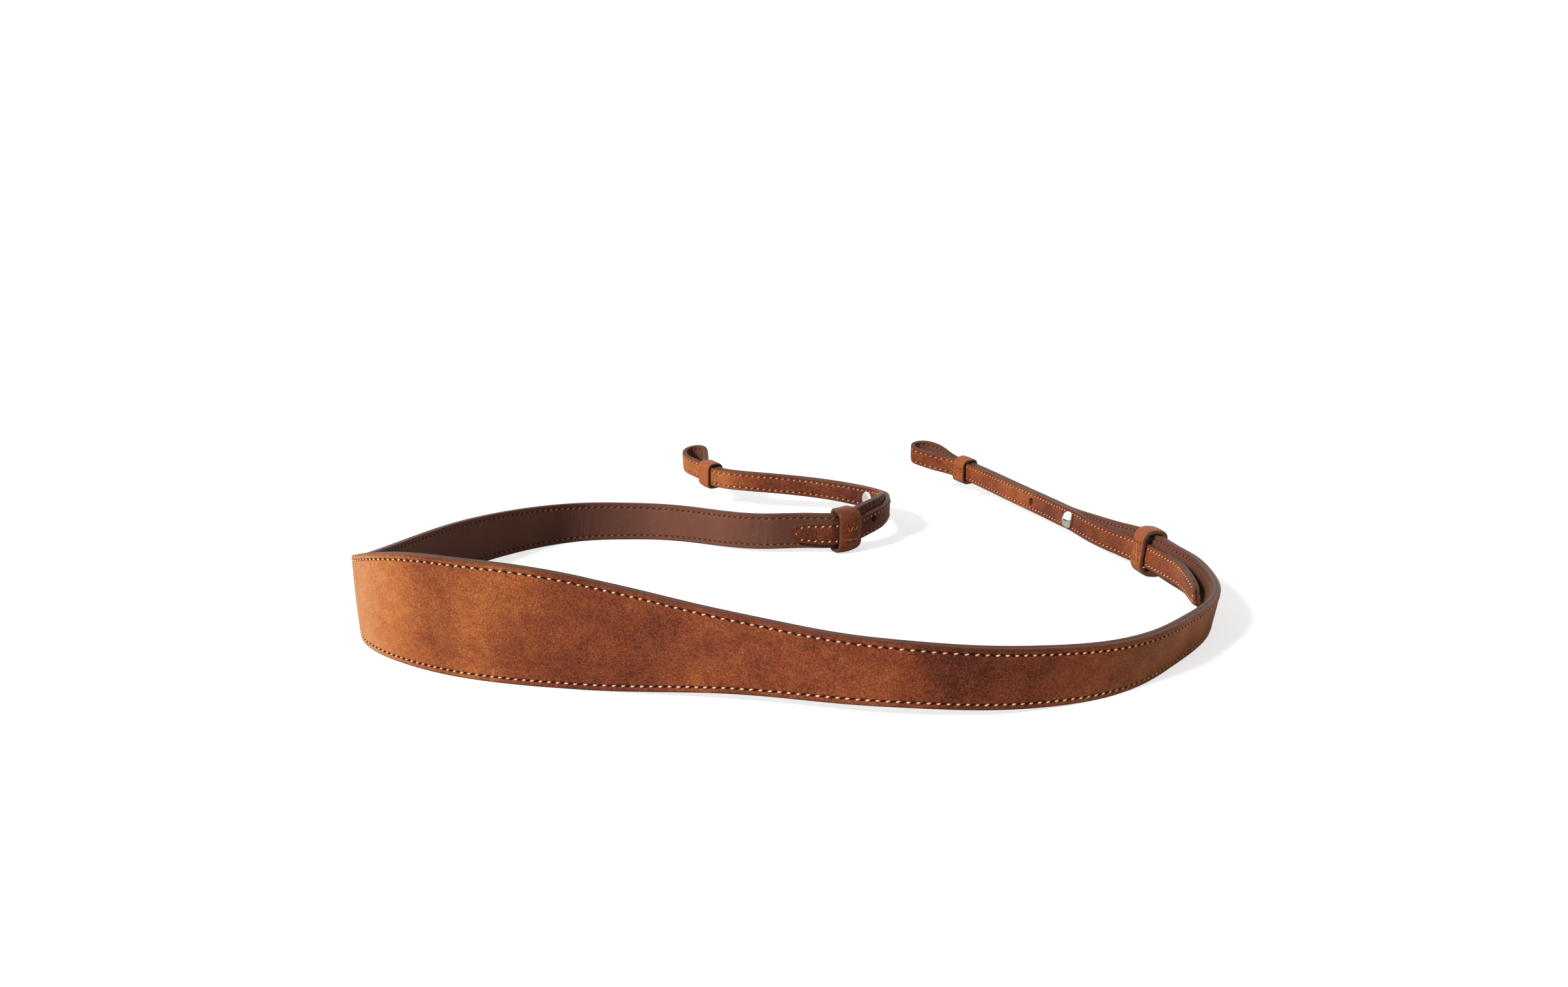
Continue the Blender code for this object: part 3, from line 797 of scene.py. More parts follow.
class FinishSheet(NodeSheet):
    """The nodes of one material, with the shader's constants set on its own sockets."""

    def __init__(self, name: str, **constants: float) -> None:
        """Starts a material.

        Args:
            name: the material's name.
            constants: shader inputs by name, with underscores for spaces.
        """
        self.material = bpy.data.materials.new(name)
        self.material.use_nodes = True
        super().__init__(self.material.node_tree)
        self.shader = self.tree.nodes["Principled BSDF"]
        for key, value in constants.items():
            self.socket(key).default_value = value

    def socket(self, key: str) -> bpy.types.NodeSocket:
        """Finds a shader input by its name with underscores for spaces."""
        return self.shader.inputs[key.replace("_", " ").title().replace("Ior", "IOR")]

    def place(self, name: str) -> Value:
        """Reads a stored vector."""
        return self.add("ShaderNodeAttribute", {"attribute_name": name}, {}, "Vector")

    def object_place(self) -> Value:
        """Reads the place in the object, in millimetres."""
        return self.stretched(self.add("ShaderNodeTexCoord", {}, {}, "Object"), (1 / MM,) * 3)

    def parts(self, vector: Value) -> tuple[Value, Value, Value]:
        """Splits a vector into its three numbers."""
        split = self.add("ShaderNodeSeparateXYZ", {}, {0: vector}).socket.node
        return tuple(Value(self, split.outputs[index]) for index in range(3))

    def stretched(self, vector: Value, scale: Vector3) -> Value:
        """Scales a vector's three numbers apart."""
        return self.add("ShaderNodeVectorMath", {"operation": "MULTIPLY"}, {0: vector, 1: scale})

    def noise(self, vector: Value, scale: float, detail: float, roughness: float) -> Value:
        """Adds a noise of about one patch for each 1 / scale of the vector."""
        inputs = {"Vector": vector, "Scale": scale, "Detail": detail, "Roughness": roughness}
        return self.add("ShaderNodeTexNoise", {}, inputs, "Fac")

    def cells(self, vector: Value, scale: float, smoothness: float) -> Value:
        """Adds the distance from the middles of scattered cells."""
        inputs = {"Vector": vector, "Scale": scale, "Smoothness": smoothness}
        return self.add("ShaderNodeTexVoronoi", {"feature": "SMOOTH_F1"}, inputs, "Distance")

    def blend(self, share: Value, first: "Value | Colour", second: "Value | Colour") -> Value:
        """Mixes two colours by a share.

        Args:
            share: how much of the second.
            first: a colour or a result.
            second: the other one.

        Returns:
            The mix, from the Mix node's colour sockets, which have the numbers 6, 7 and 2.
        """
        ends = [given if isinstance(given, Value) else (*given, 1.0) for given in (first, second)]
        inputs = {0: share, 6: ends[0], 7: ends[1]}
        return self.add("ShaderNodeMix", {"data_type": "RGBA"}, inputs, 2)

    def ramp(self, share: Value, *stops: Stop) -> Value:
        """Turns a number into a colour by a row of stops."""
        return self.add("ShaderNodeValToRGB", {"stops": stops}, {0: share})

    def bump(self, height: Value, depth: float) -> Value:
        """Turns a height from 0 to 1, which stands for a depth in millimetres, into a normal."""
        return self.add("ShaderNodeBump", {}, {"Height": height, "Distance": depth * MM})

    def finish(self, **sockets: Value) -> Material:
        """Links results to the shader.

        Args:
            sockets: results by the shader's input names, with underscores for spaces.

        Returns:
            The finished material.
        """
        for key, value in sockets.items():
            self.tree.links.new(value.socket, self.socket(key))
        return self.material


@dataclass(frozen=True)
class GrainLeather:
    """Waxed leather: clouded colour, fine grain, creases where it bends, sewn holes painted dark as
    the shade in them, and a painted sheen where its tone runs pale.
    """

    name: str
    dark: Colour
    middle: Colour
    light: Colour
    # The palest stop, which paints the sheen where the table's tan passes 1 at the left turn
    pale: Colour
    roughness: float = 0.5
    grain_depth: float = 0.05
    gloss: float = 0.08
    clouding: float = 1.0
    speckling: float = 0.85
    # The painted shade inside the stitch holes
    painted_hole_shade: Colour = (0.016, 0.006, 0.004)
    sewn: bool = True
    tone_lift: float = 0.035
    tone_spread: float = 0.8
    cloud_tone: float = 0.74
    patch_tone: float = 0.45
    crease_tone: float = 0.7
    speck_tone: float = 0.56
    pore_tone: float = 0.22
    fibre_tone: float = 0.32
    scuff_share: float = 0.45
    scuff_light: float = 1.25
    seam_shade: float = 0.45
    edge_shade: float = 0.5

    def make(self) -> Material:
        """Builds the material from the stored lay, seam, and tan with its painted sheen and shade,
        of each vertex.

        Returns:
            The material.
        """
        sheet = FinishSheet(self.name, specular_ior_level=self.gloss)
        lay = sheet.place("lay")
        stitch, offset, edge = sheet.parts(sheet.place("seam"))
        patina, bend, wear = sheet.parts(sheet.place("patina"))
        clouds = sheet.noise(lay, 0.045, 4.0, 0.6)
        patches = sheet.noise(lay, 0.21, 5.0, 0.62)
        specks = sheet.noise(lay, 1.9, 3.0, 0.65)
        pores = sheet.cells(lay, 1.7, 0.4)
        lines = sheet.noise(sheet.stretched(lay, (1.0, 0.8, 1.0)), 1.35, 2.0, 0.5)
        fibres = abs(lines - 0.5).rise(0.0, 0.11)
        creases = sheet.noise(sheet.stretched(lay, (1.0, 0.07, 0.3)), 1.5, 2.0, 0.5)
        bent = abs(bend).rise(0.009, 0.034)
        # Each pattern is taken from its own mean, so that it leaves the table's tan, with the sheen
        # and shade painted into it, as it is
        tone = patina + self.tone_lift + (creases - 0.5) * bent * self.crease_tone
        tone = tone + (clouds - 0.5) * (self.cloud_tone * self.clouding)
        tone = tone + (patches - 0.5) * (self.patch_tone * self.clouding)
        grain = (specks - 0.5) * self.speck_tone + (pores - 0.45) * self.pore_tone
        tone = tone + (grain + (fibres - 0.62) * self.fibre_tone) * self.speckling
        # Past the light stop, towards the pale one, the colour is a painted sheen, mostly at the
        # left turn
        stops = ((0.0, self.dark), (0.36, self.middle), (0.76, self.light), (1.0, self.pale))
        colour = sheet.ramp(tone * self.tone_spread, *stops)
        rubs = sheet.noise(sheet.stretched(lay, (0.35, 1.0, 1.0)), 0.9, 4.0, 0.7)
        scuffed = tuple(min(1.0, part * self.scuff_light) for part in self.light)
        colour = sheet.blend(rubs.rise(0.62, 0.74) * wear * self.scuff_share, colour, scuffed)
        height = specks * 0.3 + pores * 0.3 + fibres * 0.4 + (creases - 0.5) * bent * 1.3
        rough = self.roughness + (patches - 0.5) * 0.22 + (specks - 0.5) * 0.16
        if self.sewn:
            colour = sheet.blend(abs(offset).rise(0.75, 0.1) * self.seam_shade, colour, self.dark)
            colour = sheet.blend(edge.rise(0.9, 0.25) * self.edge_shade, colour, self.dark)
            # The stitch holes are painted dark, as the shade inside them
            long_half, short_half, depth = sheet.parts(sheet.place("hole"))
            step = ((stitch + 0.5).fraction() - 0.5) * STITCH_PITCH
            long_way = (step * TURN_COS + offset * TURN_SIN) / long_half
            short_way = (offset * TURN_COS - step * TURN_SIN) / short_half
            holes = (long_way * long_way + short_way * short_way).rise(1.15, 0.55) * depth
            colour = sheet.blend(holes, colour, self.painted_hole_shade)
            rough = rough + holes * 0.3
            height = height - holes * 1.5
        normal = sheet.bump(height, self.grain_depth)
        return sheet.finish(base_color=colour, roughness=rough, normal=normal)


@dataclass(frozen=True)
class EdgePaint:
    """Burnished edge paint: dark brown, satin, with streaks along the edge."""

    name: str
    dark: Colour = (0.052, 0.0205, 0.0125)
    light: Colour = (0.122, 0.052, 0.032)
    roughness: float = 0.5
    depth: float = 0.05

    def make(self) -> Material:
        """Builds the material from the stored lay of each vertex.

        Returns:
            The material.
        """
        sheet = FinishSheet(self.name, specular_ior_level=0.1)
        lay = sheet.place("lay")
        streaks = sheet.noise(sheet.stretched(lay, (0.12, 1.0, 1.0)), 2.4, 4.0, 0.6)
        blots = sheet.noise(lay, 0.16, 3.0, 0.5)
        fine = sheet.noise(lay, 3.0, 2.0, 0.5)
        colour = sheet.ramp(streaks * 0.55 + blots * 0.45, (0.34, self.dark), (0.66, self.light))
        rough = self.roughness + (streaks - 0.5) * 0.3
        normal = sheet.bump(streaks * 0.7 + fine * 0.3, self.depth)
        return sheet.finish(base_color=colour, roughness=rough, normal=normal)


@dataclass(frozen=True)
class RawLeather:
    """The cut wall of a punched hole: bare orange fibre, its darkest end near black as painted
    shade inside the hole.
    """

    name: str
    dark: Colour = (0.02, 0.008, 0.004)
    light: Colour = (0.2, 0.065, 0.014)
    roughness: float = 0.8
    depth: float = 0.08

    def make(self) -> Material:
        """Builds the material in object space, since a cut wall has no lay of its own.

        Returns:
            The material.
        """
        sheet = FinishSheet(self.name)
        fibre = sheet.noise(sheet.object_place(), 2.6, 4.0, 0.7)
        colour = sheet.ramp(fibre, (0.35, self.dark), (0.75, self.light))
        rough = self.roughness + (fibre - 0.5) * 0.2
        normal = sheet.bump(fibre, self.depth)
        return sheet.finish(base_color=colour, roughness=rough, normal=normal)


@dataclass(frozen=True)
class WaxedThread:
    """Waxed linen thread, whose plies are in its mesh."""

    name: str
    light: Colour
    stained: Colour
    roughness: float = 0.52
    tint_share: float = 0.95
    depth: float = 0.04

    def painted_shade_colour(self, share: float) -> Colour:
        """Gives a share of the stained colour, for painted shade."""
        return tuple(part * share for part in self.stained)

    def make(self) -> Material:
        """Builds the material from each stitch's own tint and the lay along its plies, with painted
        shade between the plies and where the thread goes into the leather.

        Returns:
            The material.
        """
        sheet = FinishSheet(self.name, specular_ior_level=0.2)
        tint, ply, out = sheet.parts(sheet.place("strand"))
        fuzz = sheet.noise(sheet.place("lay"), 4.0, 3.0, 0.6)
        colour = sheet.blend(tint * self.tint_share + (fuzz - 0.5) * 0.3, self.light, self.stained)
        # Painted shade in the grooves between the plies
        colour = sheet.blend(ply.rise(0.5, 0.1) * 0.6, colour, self.painted_shade_colour(0.45))
        # Painted shade where the thread is low, going into its hole
        colour = sheet.blend(out.rise(0.35, 0.0) * 0.8, colour, self.painted_shade_colour(0.3))
        rough = self.roughness + (fuzz - 0.5) * 0.3
        normal = sheet.bump(fuzz, self.depth)
        return sheet.finish(base_color=colour, roughness=rough, normal=normal)


@dataclass(frozen=True)
class PolishedNickel:
    """Polished nickel plate with hairlines from handling."""

    name: str
    roughness: float = 0.13
    dark: Colour = (0.7, 0.68, 0.65)
    light: Colour = (0.83, 0.81, 0.78)
    depth: float = 0.006

    def make(self) -> Material:
        """Builds the material in object space.

        Returns:
            The material.
        """
        sheet = FinishSheet(self.name, metallic=1.0)
        place = sheet.object_place()
        hairs = sheet.noise(sheet.stretched(place, (0.25, 3.0, 1.2)), 2.2, 5.0, 0.7)
        haze = sheet.noise(place, 0.6, 3.0, 0.5)
        colour = sheet.ramp(haze, (0.3, self.dark), (0.7, self.light))
        rough = self.roughness + (haze - 0.5) * 0.12 + hairs.rise(0.6, 0.75) * 0.14
        normal = sheet.bump(hairs, self.depth)
        return sheet.finish(base_color=colour, roughness=rough, normal=normal)


@dataclass(frozen=True)
class PaleFloor:
    """Smooth pale paper, as bright as an overexposed table without lighting the strap more."""

    name: str
    lift: float = 0.68
    dark: Colour = (0.59, 0.587, 0.58)
    light: Colour = (0.61, 0.607, 0.6)
    roughness: float = 0.85

    def make(self) -> Material:
        """Builds the material with a faint tooth.

        Returns:
            The material.
        """
        sheet = FinishSheet(self.name, specular_ior_level=0.0, emission_strength=self.lift)
        place = sheet.add("ShaderNodeTexCoord", {}, {}, "Object")
        tooth = sheet.noise(place, 900.0, 2.0, 0.5)
        colour = sheet.ramp(tooth, (0.0, self.dark), (1.0, self.light))
        seen = sheet.add("ShaderNodeLightPath", {}, {}, "Is Camera Ray")
        glow = sheet.blend(seen, BLACK, WHITE)
        rough = self.roughness + (tooth - 0.5) * 0.1
        return sheet.finish(base_color=colour, roughness=rough, emission_color=glow)


# How tan the leather is along the band's run from the left tip: (run, share). Past 1, at the left
# turn, it reaches the pale stop and paints a sheen highlight.
TAN_AND_PAINTED_SHEEN = (
    (0.0, 0.09), (40.0, 0.09), (75.0, 0.16), (110.0, 0.34), (180.0, 0.4), (215.0, 0.56),
    (250.0, 0.68), (275.0, 0.58), (292.0, 0.38), (318.0, 0.12), (345.0, 0.08), (400.0, 0.3),
    (480.0, 0.36), (640.0, 0.6), (680.0, 0.62), (702.0, 0.96), (730.0, 1.14), (758.0, 0.84),
    (780.0, 0.47), (803.0, 0.58), (830.0, 0.2), (850.0, 0.26), (880.0, 0.34), (905.0, 0.21),
    (922.0, 0.44), (945.0, 0.06), (980.0, 0.35), (1005.0, 0.5), (1040.0, 0.7), (1080.0, 0.66),
    (1110.0, 0.46), (1180.0, 0.38), (1300.0, 0.3), (1400.0, 0.36), (1445.0, 0.36), (1475.0, 0.46),
    (1505.0, 0.2), (1550.0, 0.18), (1575.0, 0.3), (1605.0, 0.45), (1660.0, 0.38),
)
# How light the lining is along the same run: (run, share). The dark stretch from 540 to 578 is
# painted shade, where the edge of the lining's shadow falls.
LINING_TONE_AND_PAINTED_SHADE = (
    (430.0, 0.4), (455.0, 0.15), (485.0, 0.5), (520.0, 0.44), (540.0, 0.14), (562.0, 0.0),
    (578.0, 0.45), (1660.0, 0.45),
)
# How scuffed the grain is along the same run: (run, share)
WEAR = (
    (600.0, 0.0), (720.0, 0.15), (850.0, 0.0), (1020.0, 0.2), (1060.0, 0.8), (1100.0, 0.1),
    (1660.0, 0.05),
)
# Half of a layer's section, column by column. On the face: shares of the way out to the groove.
# In the groove: places round the seam, and how far it is pressed. Then the two corners, in degrees.
MIDDLE_SHARES = np.array([[1.0, 0.68, 0.36]])
GROOVE_PLACES = np.array([[2.0, 1.0, 0.5, 0.0, -0.5, -1.0]])
GROOVE_PRESS = np.array([[0.0, 0.12, 0.7, 1.0, 0.7, 0.12]])
OUTER_CORNER = (90.0, 66.0, 44.0, 22.0, 0.0)
INNER_CORNER = (0.0, 45.0, 90.0)
MIDDLE_COLUMNS = MIDDLE_SHARES.size
FACE_COLUMNS = MIDDLE_COLUMNS + GROOVE_PLACES.size
# The columns from which the edge is painted, on the strap and on the tongues
PAINT_FROM = 12
TONGUE_PAINT_FROM = 10
# The stitch holes' half length, half width and how dark their painted shade is on a tongue, and
# what the strap adds
HOLES = {
    Face.GRAIN: ((0.46, 0.26, 0.55), (0.46, 0.08, 0.45)),
    Face.LINING: ((0.6, 0.26, 0.9), (0.3, 0.0, 0.0)),
}


def corner(radius: float, degrees: Sequence[float]) -> tuple[Array, Array]:
    """Gives how far a rounded corner is in from its two faces at angles."""
    turn = np.radians([degrees])
    return radius * (1 - np.cos(turn)), radius * (1 - np.sin(turn))


def all_round(half: Array, sign: float = 1.0) -> Array:
    """Adds the other half of a section, whose values have the sign."""
    return np.concatenate([half, sign * half[:, -2:0:-1]], axis=1)


@dataclass
class LeatherLayer:
    """One layer of the band, with rounded edges and the groove that the seam presses into it."""

    band: Band
    side: Face
    outer_round: float = 0.5
    inner_round: float = 0.1
    closed: float = 0.12
    groove_reach: float = 0.5
    groove_depth: float = 0.14
    hole_depth: float = 0.42
    crown: float = 0.12
    pad_crown: float = 0.35
    most_drawn: float = 0.92
    lay_apart: float = 40.0
    sharp_from: float = 58.0

    def edge_stations(self) -> tuple[Array, Array]:
        """Sets out the stations.

        Returns:
            The run of each station, and how far its section is drawn in to round the two ends.
        """
        step = self.band.pitch / STATIONS_PER_STITCH
        inner = np.arange(1, self.band.stitches * STATIONS_PER_STITCH) * step
        eased = self.outer_round * np.array([0.0, 0.08, 0.3, 0.6])
        runs = np.concatenate([eased, inner, self.band.length - eased[::-1]])
        ends = np.minimum(runs, self.band.length - runs)
        short = 1 - np.clip(ends / self.outer_round, 0, 1)
        drawn = 1 - np.sqrt(np.clip(1 - short**2, 0, 1))
        return runs, np.minimum(drawn, self.most_drawn)

    def groove_drop(self, runs: Array) -> Array:
        """Gives how deep the seam presses the groove at runs, deepest at the stitch holes.

        Args:
            runs: the stations.

        Returns:
            The depth, as stations by the groove's columns.
        """
        phase = (runs / self.band.pitch)[:, None]
        hole = np.clip(np.cos(2 * np.pi * phase), 0.0, 1.0) ** 2
        fade = soft_step(np.minimum(runs, self.band.length - runs), 1.2, 3.0)[:, None]
        deeper = (self.hole_depth - self.groove_depth) * hole * (GROOVE_PRESS > 0.5)
        return GROOVE_PRESS * (self.groove_depth + deeper) * fade

    def half_section(self, runs: Array, drawn: Array) -> tuple[Array, Array]:
        """Shapes half of the section, from the middle of the face to that of the seam side.

        Args:
            runs: the stations.
            drawn: how far each is drawn in.

        Returns:
            The distance from the edge and the height over the seam side, as stations by columns.
        """
        half = self.band.read("width", runs)[:, None] / 2
        thick = self.band.read("layer", runs)[:, None]
        inset = self.band.stitch_inset(runs)[:, None]
        open_share = 1 - drawn[:, None]
        ones = np.ones_like(half)
        beyond = inset + 2 * self.groove_reach
        middle = beyond + MIDDLE_SHARES * np.maximum(half - beyond, 0.05)
        groove = inset + self.groove_reach * GROOVE_PLACES
        outer, outer_drop = corner(self.outer_round, OUTER_CORNER)
        inner, inner_height = corner(self.inner_round, INNER_CORNER)
        offsets = np.concatenate([middle, groove, outer * ones, inner * ones, half], axis=1)
        on_face = np.minimum(offsets[:, :FACE_COLUMNS], half * np.linspace(1.0, 0.16, FACE_COLUMNS))
        on_face[:, 0] = half[:, 0]
        offsets[:, :FACE_COLUMNS] = on_face
        bulge = self.crown + (self.pad_crown - self.crown) * soft_step(half[:, 0] * 2, 16.0, 34.0)
        rise = bulge[:, None] * (1 - (1 - on_face / half) ** 2) * open_share
        face = thick + rise
        face[:, MIDDLE_COLUMNS:] -= self.groove_drop(runs)
        outer_face = thick + rise[:, -1:] * 0.6 - outer_drop
        seam_side = [inner_height * ones - self.closed, -self.closed * ones]
        heights = np.concatenate([face, outer_face, *seam_side], axis=1)
        mid_height = thick * 0.45
        return offsets, mid_height + (heights - mid_height) * open_share

    def build(self) -> Mesh:
        """Sweeps the section along the band.

        Returns:
            The layer's closed mesh, with its face in material 0 and its edges in material 1.
        """
        runs, drawn = self.edge_stations()
        offsets, heights = self.half_section(runs, drawn)
        half = self.band.read("width", runs)[:, None] / 2
        pull = 0.35 * self.outer_round * drawn[:, None]
        across = all_round(half - offsets, -1.0) * (1 - pull / half)
        height, edge = all_round(heights), all_round(offsets)
        sign = self.side.value
        rows, columns = across.shape
        run_grid = np.repeat(runs[:, None], columns, axis=1)
        points = self.band.surface(run_grid, across, sign * (LAYER_GAP / 2 + height))
        caps = [list(range(columns))[::-1], list(range((rows - 1) * columns, rows * columns))]
        faces = grid_faces(rows, columns)[:, ::sign]
        caps = [cap[::sign] for cap in caps]
        mesh = new_mesh(self.name, points, faces.tolist() + caps)
        column = np.tile(np.arange(columns), rows - 1)
        tongue = self.band.broad(runs[:-1]) < 0.5
        start = np.repeat(np.where(tongue, TONGUE_PAINT_FROM, PAINT_FROM), columns)
        painted = (column >= start) & (column < columns - start)
        mesh.polygons.foreach_set("material_index", np.concatenate([painted.astype(int), [1, 1]]))
        inset = self.band.stitch_inset(runs)[:, None]
        write_vectors(
            mesh,
            seam=np.stack([run_grid / self.band.pitch, edge - inset, edge], axis=-1),
            lay=np.stack([run_grid, across, sign * height * 2 + self.lay_apart * sign], axis=-1),
            patina=self.patina(run_grid),
            hole=self.hole_sizes(run_grid),
        )
        return mesh

    def hole_sizes(self, runs: Array) -> Array:
        """Gives the half length, half width and darkness of the stitch holes at runs."""
        tongue, more = np.array(HOLES[self.side])
        return tongue + more * self.band.broad(runs)[..., None]

    def patina(self, runs: Array) -> Array:
        """Gives the tan share with its painted sheen and shade, the face's bend and the wear at
        runs.
        """
        tan = np.interp(runs, *zip(*(TAN_AND_PAINTED_SHEEN if self.side is Face.GRAIN else LINING_TONE_AND_PAINTED_SHADE)))
        return np.stack([tan, self.band.read("bend", runs), np.interp(runs, *zip(*WEAR))], axis=-1)

    @property
    def name(self) -> str:
        """Names the piece."""
        return f"{self.side.label}_layer"

    def dress(self, punches: Object, *finishes: Material) -> None:
        """Puts the layer in the scene in place of its solid and punches the holes.

        Args:
            punches: the joined cutters of the holes.
            finishes: face, edge and raw leather.
        """
        slot = Slot.GRAIN if self.side is Face.GRAIN else Slot.LINING
        piece = new_piece(self.name, self.build(), slot, *finishes)
        cut_away(piece, punches)
        piece.data.set_sharp_from_angle(angle=math.radians(self.sharp_from))
        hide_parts("outer_strap" if self.side is Face.GRAIN else "lining")


def read_vectors(mesh: Mesh, name: str) -> Array:
    """Reads a stored vector of each vertex.

    Args:
        mesh: the mesh.
        name: the vector's name.

    Returns:
        One row for each vertex.
    """
    values = np.zeros(len(mesh.vertices) * 3, np.float32)
    mesh.attributes[name].data.foreach_get("vector", values)
    return values.reshape(-1, 3)


def carry_over(whole: Mesh, cut: Mesh) -> None:
    """Gives a cut mesh the stored vectors of the whole one, which the cut leaves at zero.

    Args:
        whole: the mesh before the cut.
        cut: the mesh after it, whose new vertices take the values of the nearest old one.
    """
    before, after = read_vectors(whole, "position"), read_vectors(cut, "position")
    known = {point.tobytes(): index for index, point in enumerate(before)}
    source = np.array([known.get(point.tobytes(), -1) for point in after])
    for index in np.flatnonzero(source < 0):
        source[index] = np.argmin(((before - after[index]) ** 2).sum(axis=1))
    for name in ("seam", "lay", "patina", "hole"):
        if name in whole.attributes:
            carried = read_vectors(whole, name)[source]
            cut.attributes[name].data.foreach_set("vector", carried.ravel())


def cut_away(piece: Object, cutter: Object) -> None:
    """Takes a cutter's shape out of a piece's mesh.

    Args:
        piece: the piece, whose mesh is replaced by the cut one.
        cutter: a closed mesh object in the same place.
    """
    cut = piece.modifiers.new("cut", "BOOLEAN")
    cut.operation = "DIFFERENCE"
    cut.solver = "EXACT"
    cut.object = cutter
    bpy.context.view_layer.update()
    whole = piece.data
    result = piece.evaluated_get(bpy.context.evaluated_depsgraph_get())
    piece.data = bpy.data.meshes.new_from_object(result)
    piece.modifiers.clear()
    piece.data.name = piece.name
    carry_over(whole, piece.data)
    bpy.data.meshes.remove(whole)


def stud_matrix(route: StrapRoute, place: float) -> Array:
    """Gives the frame of a stud: its rows are along, across and out, then the origin.

    Args:
        route: the strap's course.
        place: the stud's distance from the middle of the pad.

    Returns:
        The four rows.
    """
    frames = route.frames(place)
    along, out = frames.along[0], frames.out[0]
    return np.stack([along, np.cross(out, along), out, frames.points[0]])


def prism(
    frame: Array, outline: Array, low: float, high: float
) -> tuple[Array, list[tuple[int, ...]]]:
    """Draws a straight prism on a stud's frame.

    Args:
        frame: the stud's frame.
        outline: the prism's corners, along and across.
        low: where it starts out of the middle of the strap.
        high: where it ends.

    Returns:
        Its points and its faces.
    """
    base = frame[3] + outline @ frame[:2]
    count = len(outline)
    edges = [(index, (index + 1) % count) for index in range(count)]
    faces = [(index, after, after + count, index + count) for index, after in edges]
    faces += [tuple(range(count))[::-1], tuple(range(count, 2 * count))]
    return np.concatenate([base + low * frame[2], base + high * frame[2]]), faces


@dataclass
class Punches:
    """The holes of both tongues: one for each stud, and the free one in each return."""

    route: StrapRoute
    radius: float = 1.8
    sides: int = 40
    clear: float = 1.4
    raw_index: int = 2

    def build(self) -> Object:
        """Makes the cutters.

        Returns:
            One object that isn't kept, whose faces give the cut walls the third finish.
        """
        low = -(DOUBLED + TONGUE_THICK / 2 + self.clear)
        points, faces = [], []
        for end in ENDS:
            through = (end.stud, STRAP_THICK / 2 + self.clear)
            for place, high in (through, (end.free_hole, -DOUBLED / 2)):
                frame = stud_matrix(self.route, end.side * place)
                corners, walls = prism(frame, self.radius * circle(self.sides), low, high)
                faces += [tuple(len(points) + index for index in wall) for wall in walls]
                points.extend(corners)
        mesh = new_mesh("punches", np.array(points), faces)
        for _ in range(self.raw_index + 1):
            mesh.materials.append(None)
        indices = np.full(len(mesh.polygons), self.raw_index)
        mesh.polygons.foreach_set("material_index", indices)
        return put_in_scene("punches", mesh)


@dataclass
class Strand:
    """A short length of three-ply thread, as a mesh that is repeated along a seam."""

    radius: float = 0.25
    sides: int = 8
    plies: int = 3
    ply_depth: float = 0.16
    twist: float = 2.2

    def wave(self, rings: int) -> Array:
        """Gives how proud the plies are round each ring, from -1 to 1.

        Args:
            rings: how many rings.

        Returns:
            The height, as rings by sides.
        """
        turn = np.linspace(0, 2 * np.pi, self.sides, endpoint=False)
        wind = np.linspace(0, self.twist, rings)[:, None]
        return np.cos(self.plies * (turn[None, :] - wind))

    def tube(
        self, middle: Array, side: Array, rise: Array, thick: Array
    ) -> Array:
        """Sweeps the thread's section along many short lines at once.

        Args:
            middle: the lines' points, as strands by rings by three.
            side: unit vectors across each ring.
            rise: unit vectors up from each ring.
            thick: the radius at each ring, as strands by rings.

        Returns:
            The tubes' points, as strands by rings by sides by three.
        """
        swell = 1 + self.ply_depth * self.wave(middle.shape[1])
        reach = thick[:, :, None, None] * swell[None, :, :, None]
        over, up = circle(self.sides).T[:, None, None, :, None]
        round_way = over * side[:, :, None, :] + up * rise[:, :, None, :]
        return middle[:, :, None, :] + reach * round_way

    def faces(self, strands: int, rings: int) -> Array:
        """Lists the quads of the tubes and of their closed ends.

        Args:
            strands: how many tubes.
            rings: how many rings in each.

        Returns:
            One row of four vertex numbers for each quad.
        """
        step = np.arange(self.sides // 2 - 1)
        end = np.stack([step, step + 1, self.sides - 2 - step, self.sides - 1 - step], axis=-1)
        far_end = end[:, ::-1] + (rings - 1) * self.sides
        one = np.concatenate([grid_faces(rings, self.sides), end, far_end])
        return (one[None] + np.arange(strands)[:, None, None] * rings * self.sides).reshape(-1, 4)

    def sew(
        self,
        name: str,
        middle: Array,
        toward: Array,
        thick: Array,
        tint: Array,
        depth: Array,
    ) -> Mesh:
        """Makes a row of stitches.

        Args:
            name: the mesh's name.
            middle: the stitches' middle lines, as strands by rings by three.
            toward: vectors out of the leather there.
            thick: the radius at each ring, as strands by rings.
            tint: how stained each strand is.
            depth: how far out each ring is, from 0 to 1, as strands by rings; the material paints
                the low rings darker as shade.

        Returns:
            The mesh, with each vertex's tint, ply and depth stored in it.
        """
        strands, rings = middle.shape[:2]
        forward = unit(np.gradient(middle, axis=1))
        side = unit(np.cross(forward, toward))
        points = self.tube(middle, side, np.cross(side, forward), thick)
        mesh = new_mesh(name, points, self.faces(strands, rings).tolist())
        # ply is 0 in the grooves between the plies, where the material paints shade
        ply = 0.5 + 0.5 * self.wave(rings)
        looks = (tint[:, None, None], ply[None], depth[:, :, None])
        ones = np.ones(points.shape[:3])
        write_vectors(mesh, strand=np.stack([look * ones for look in looks], axis=-1), lay=points)
        return mesh


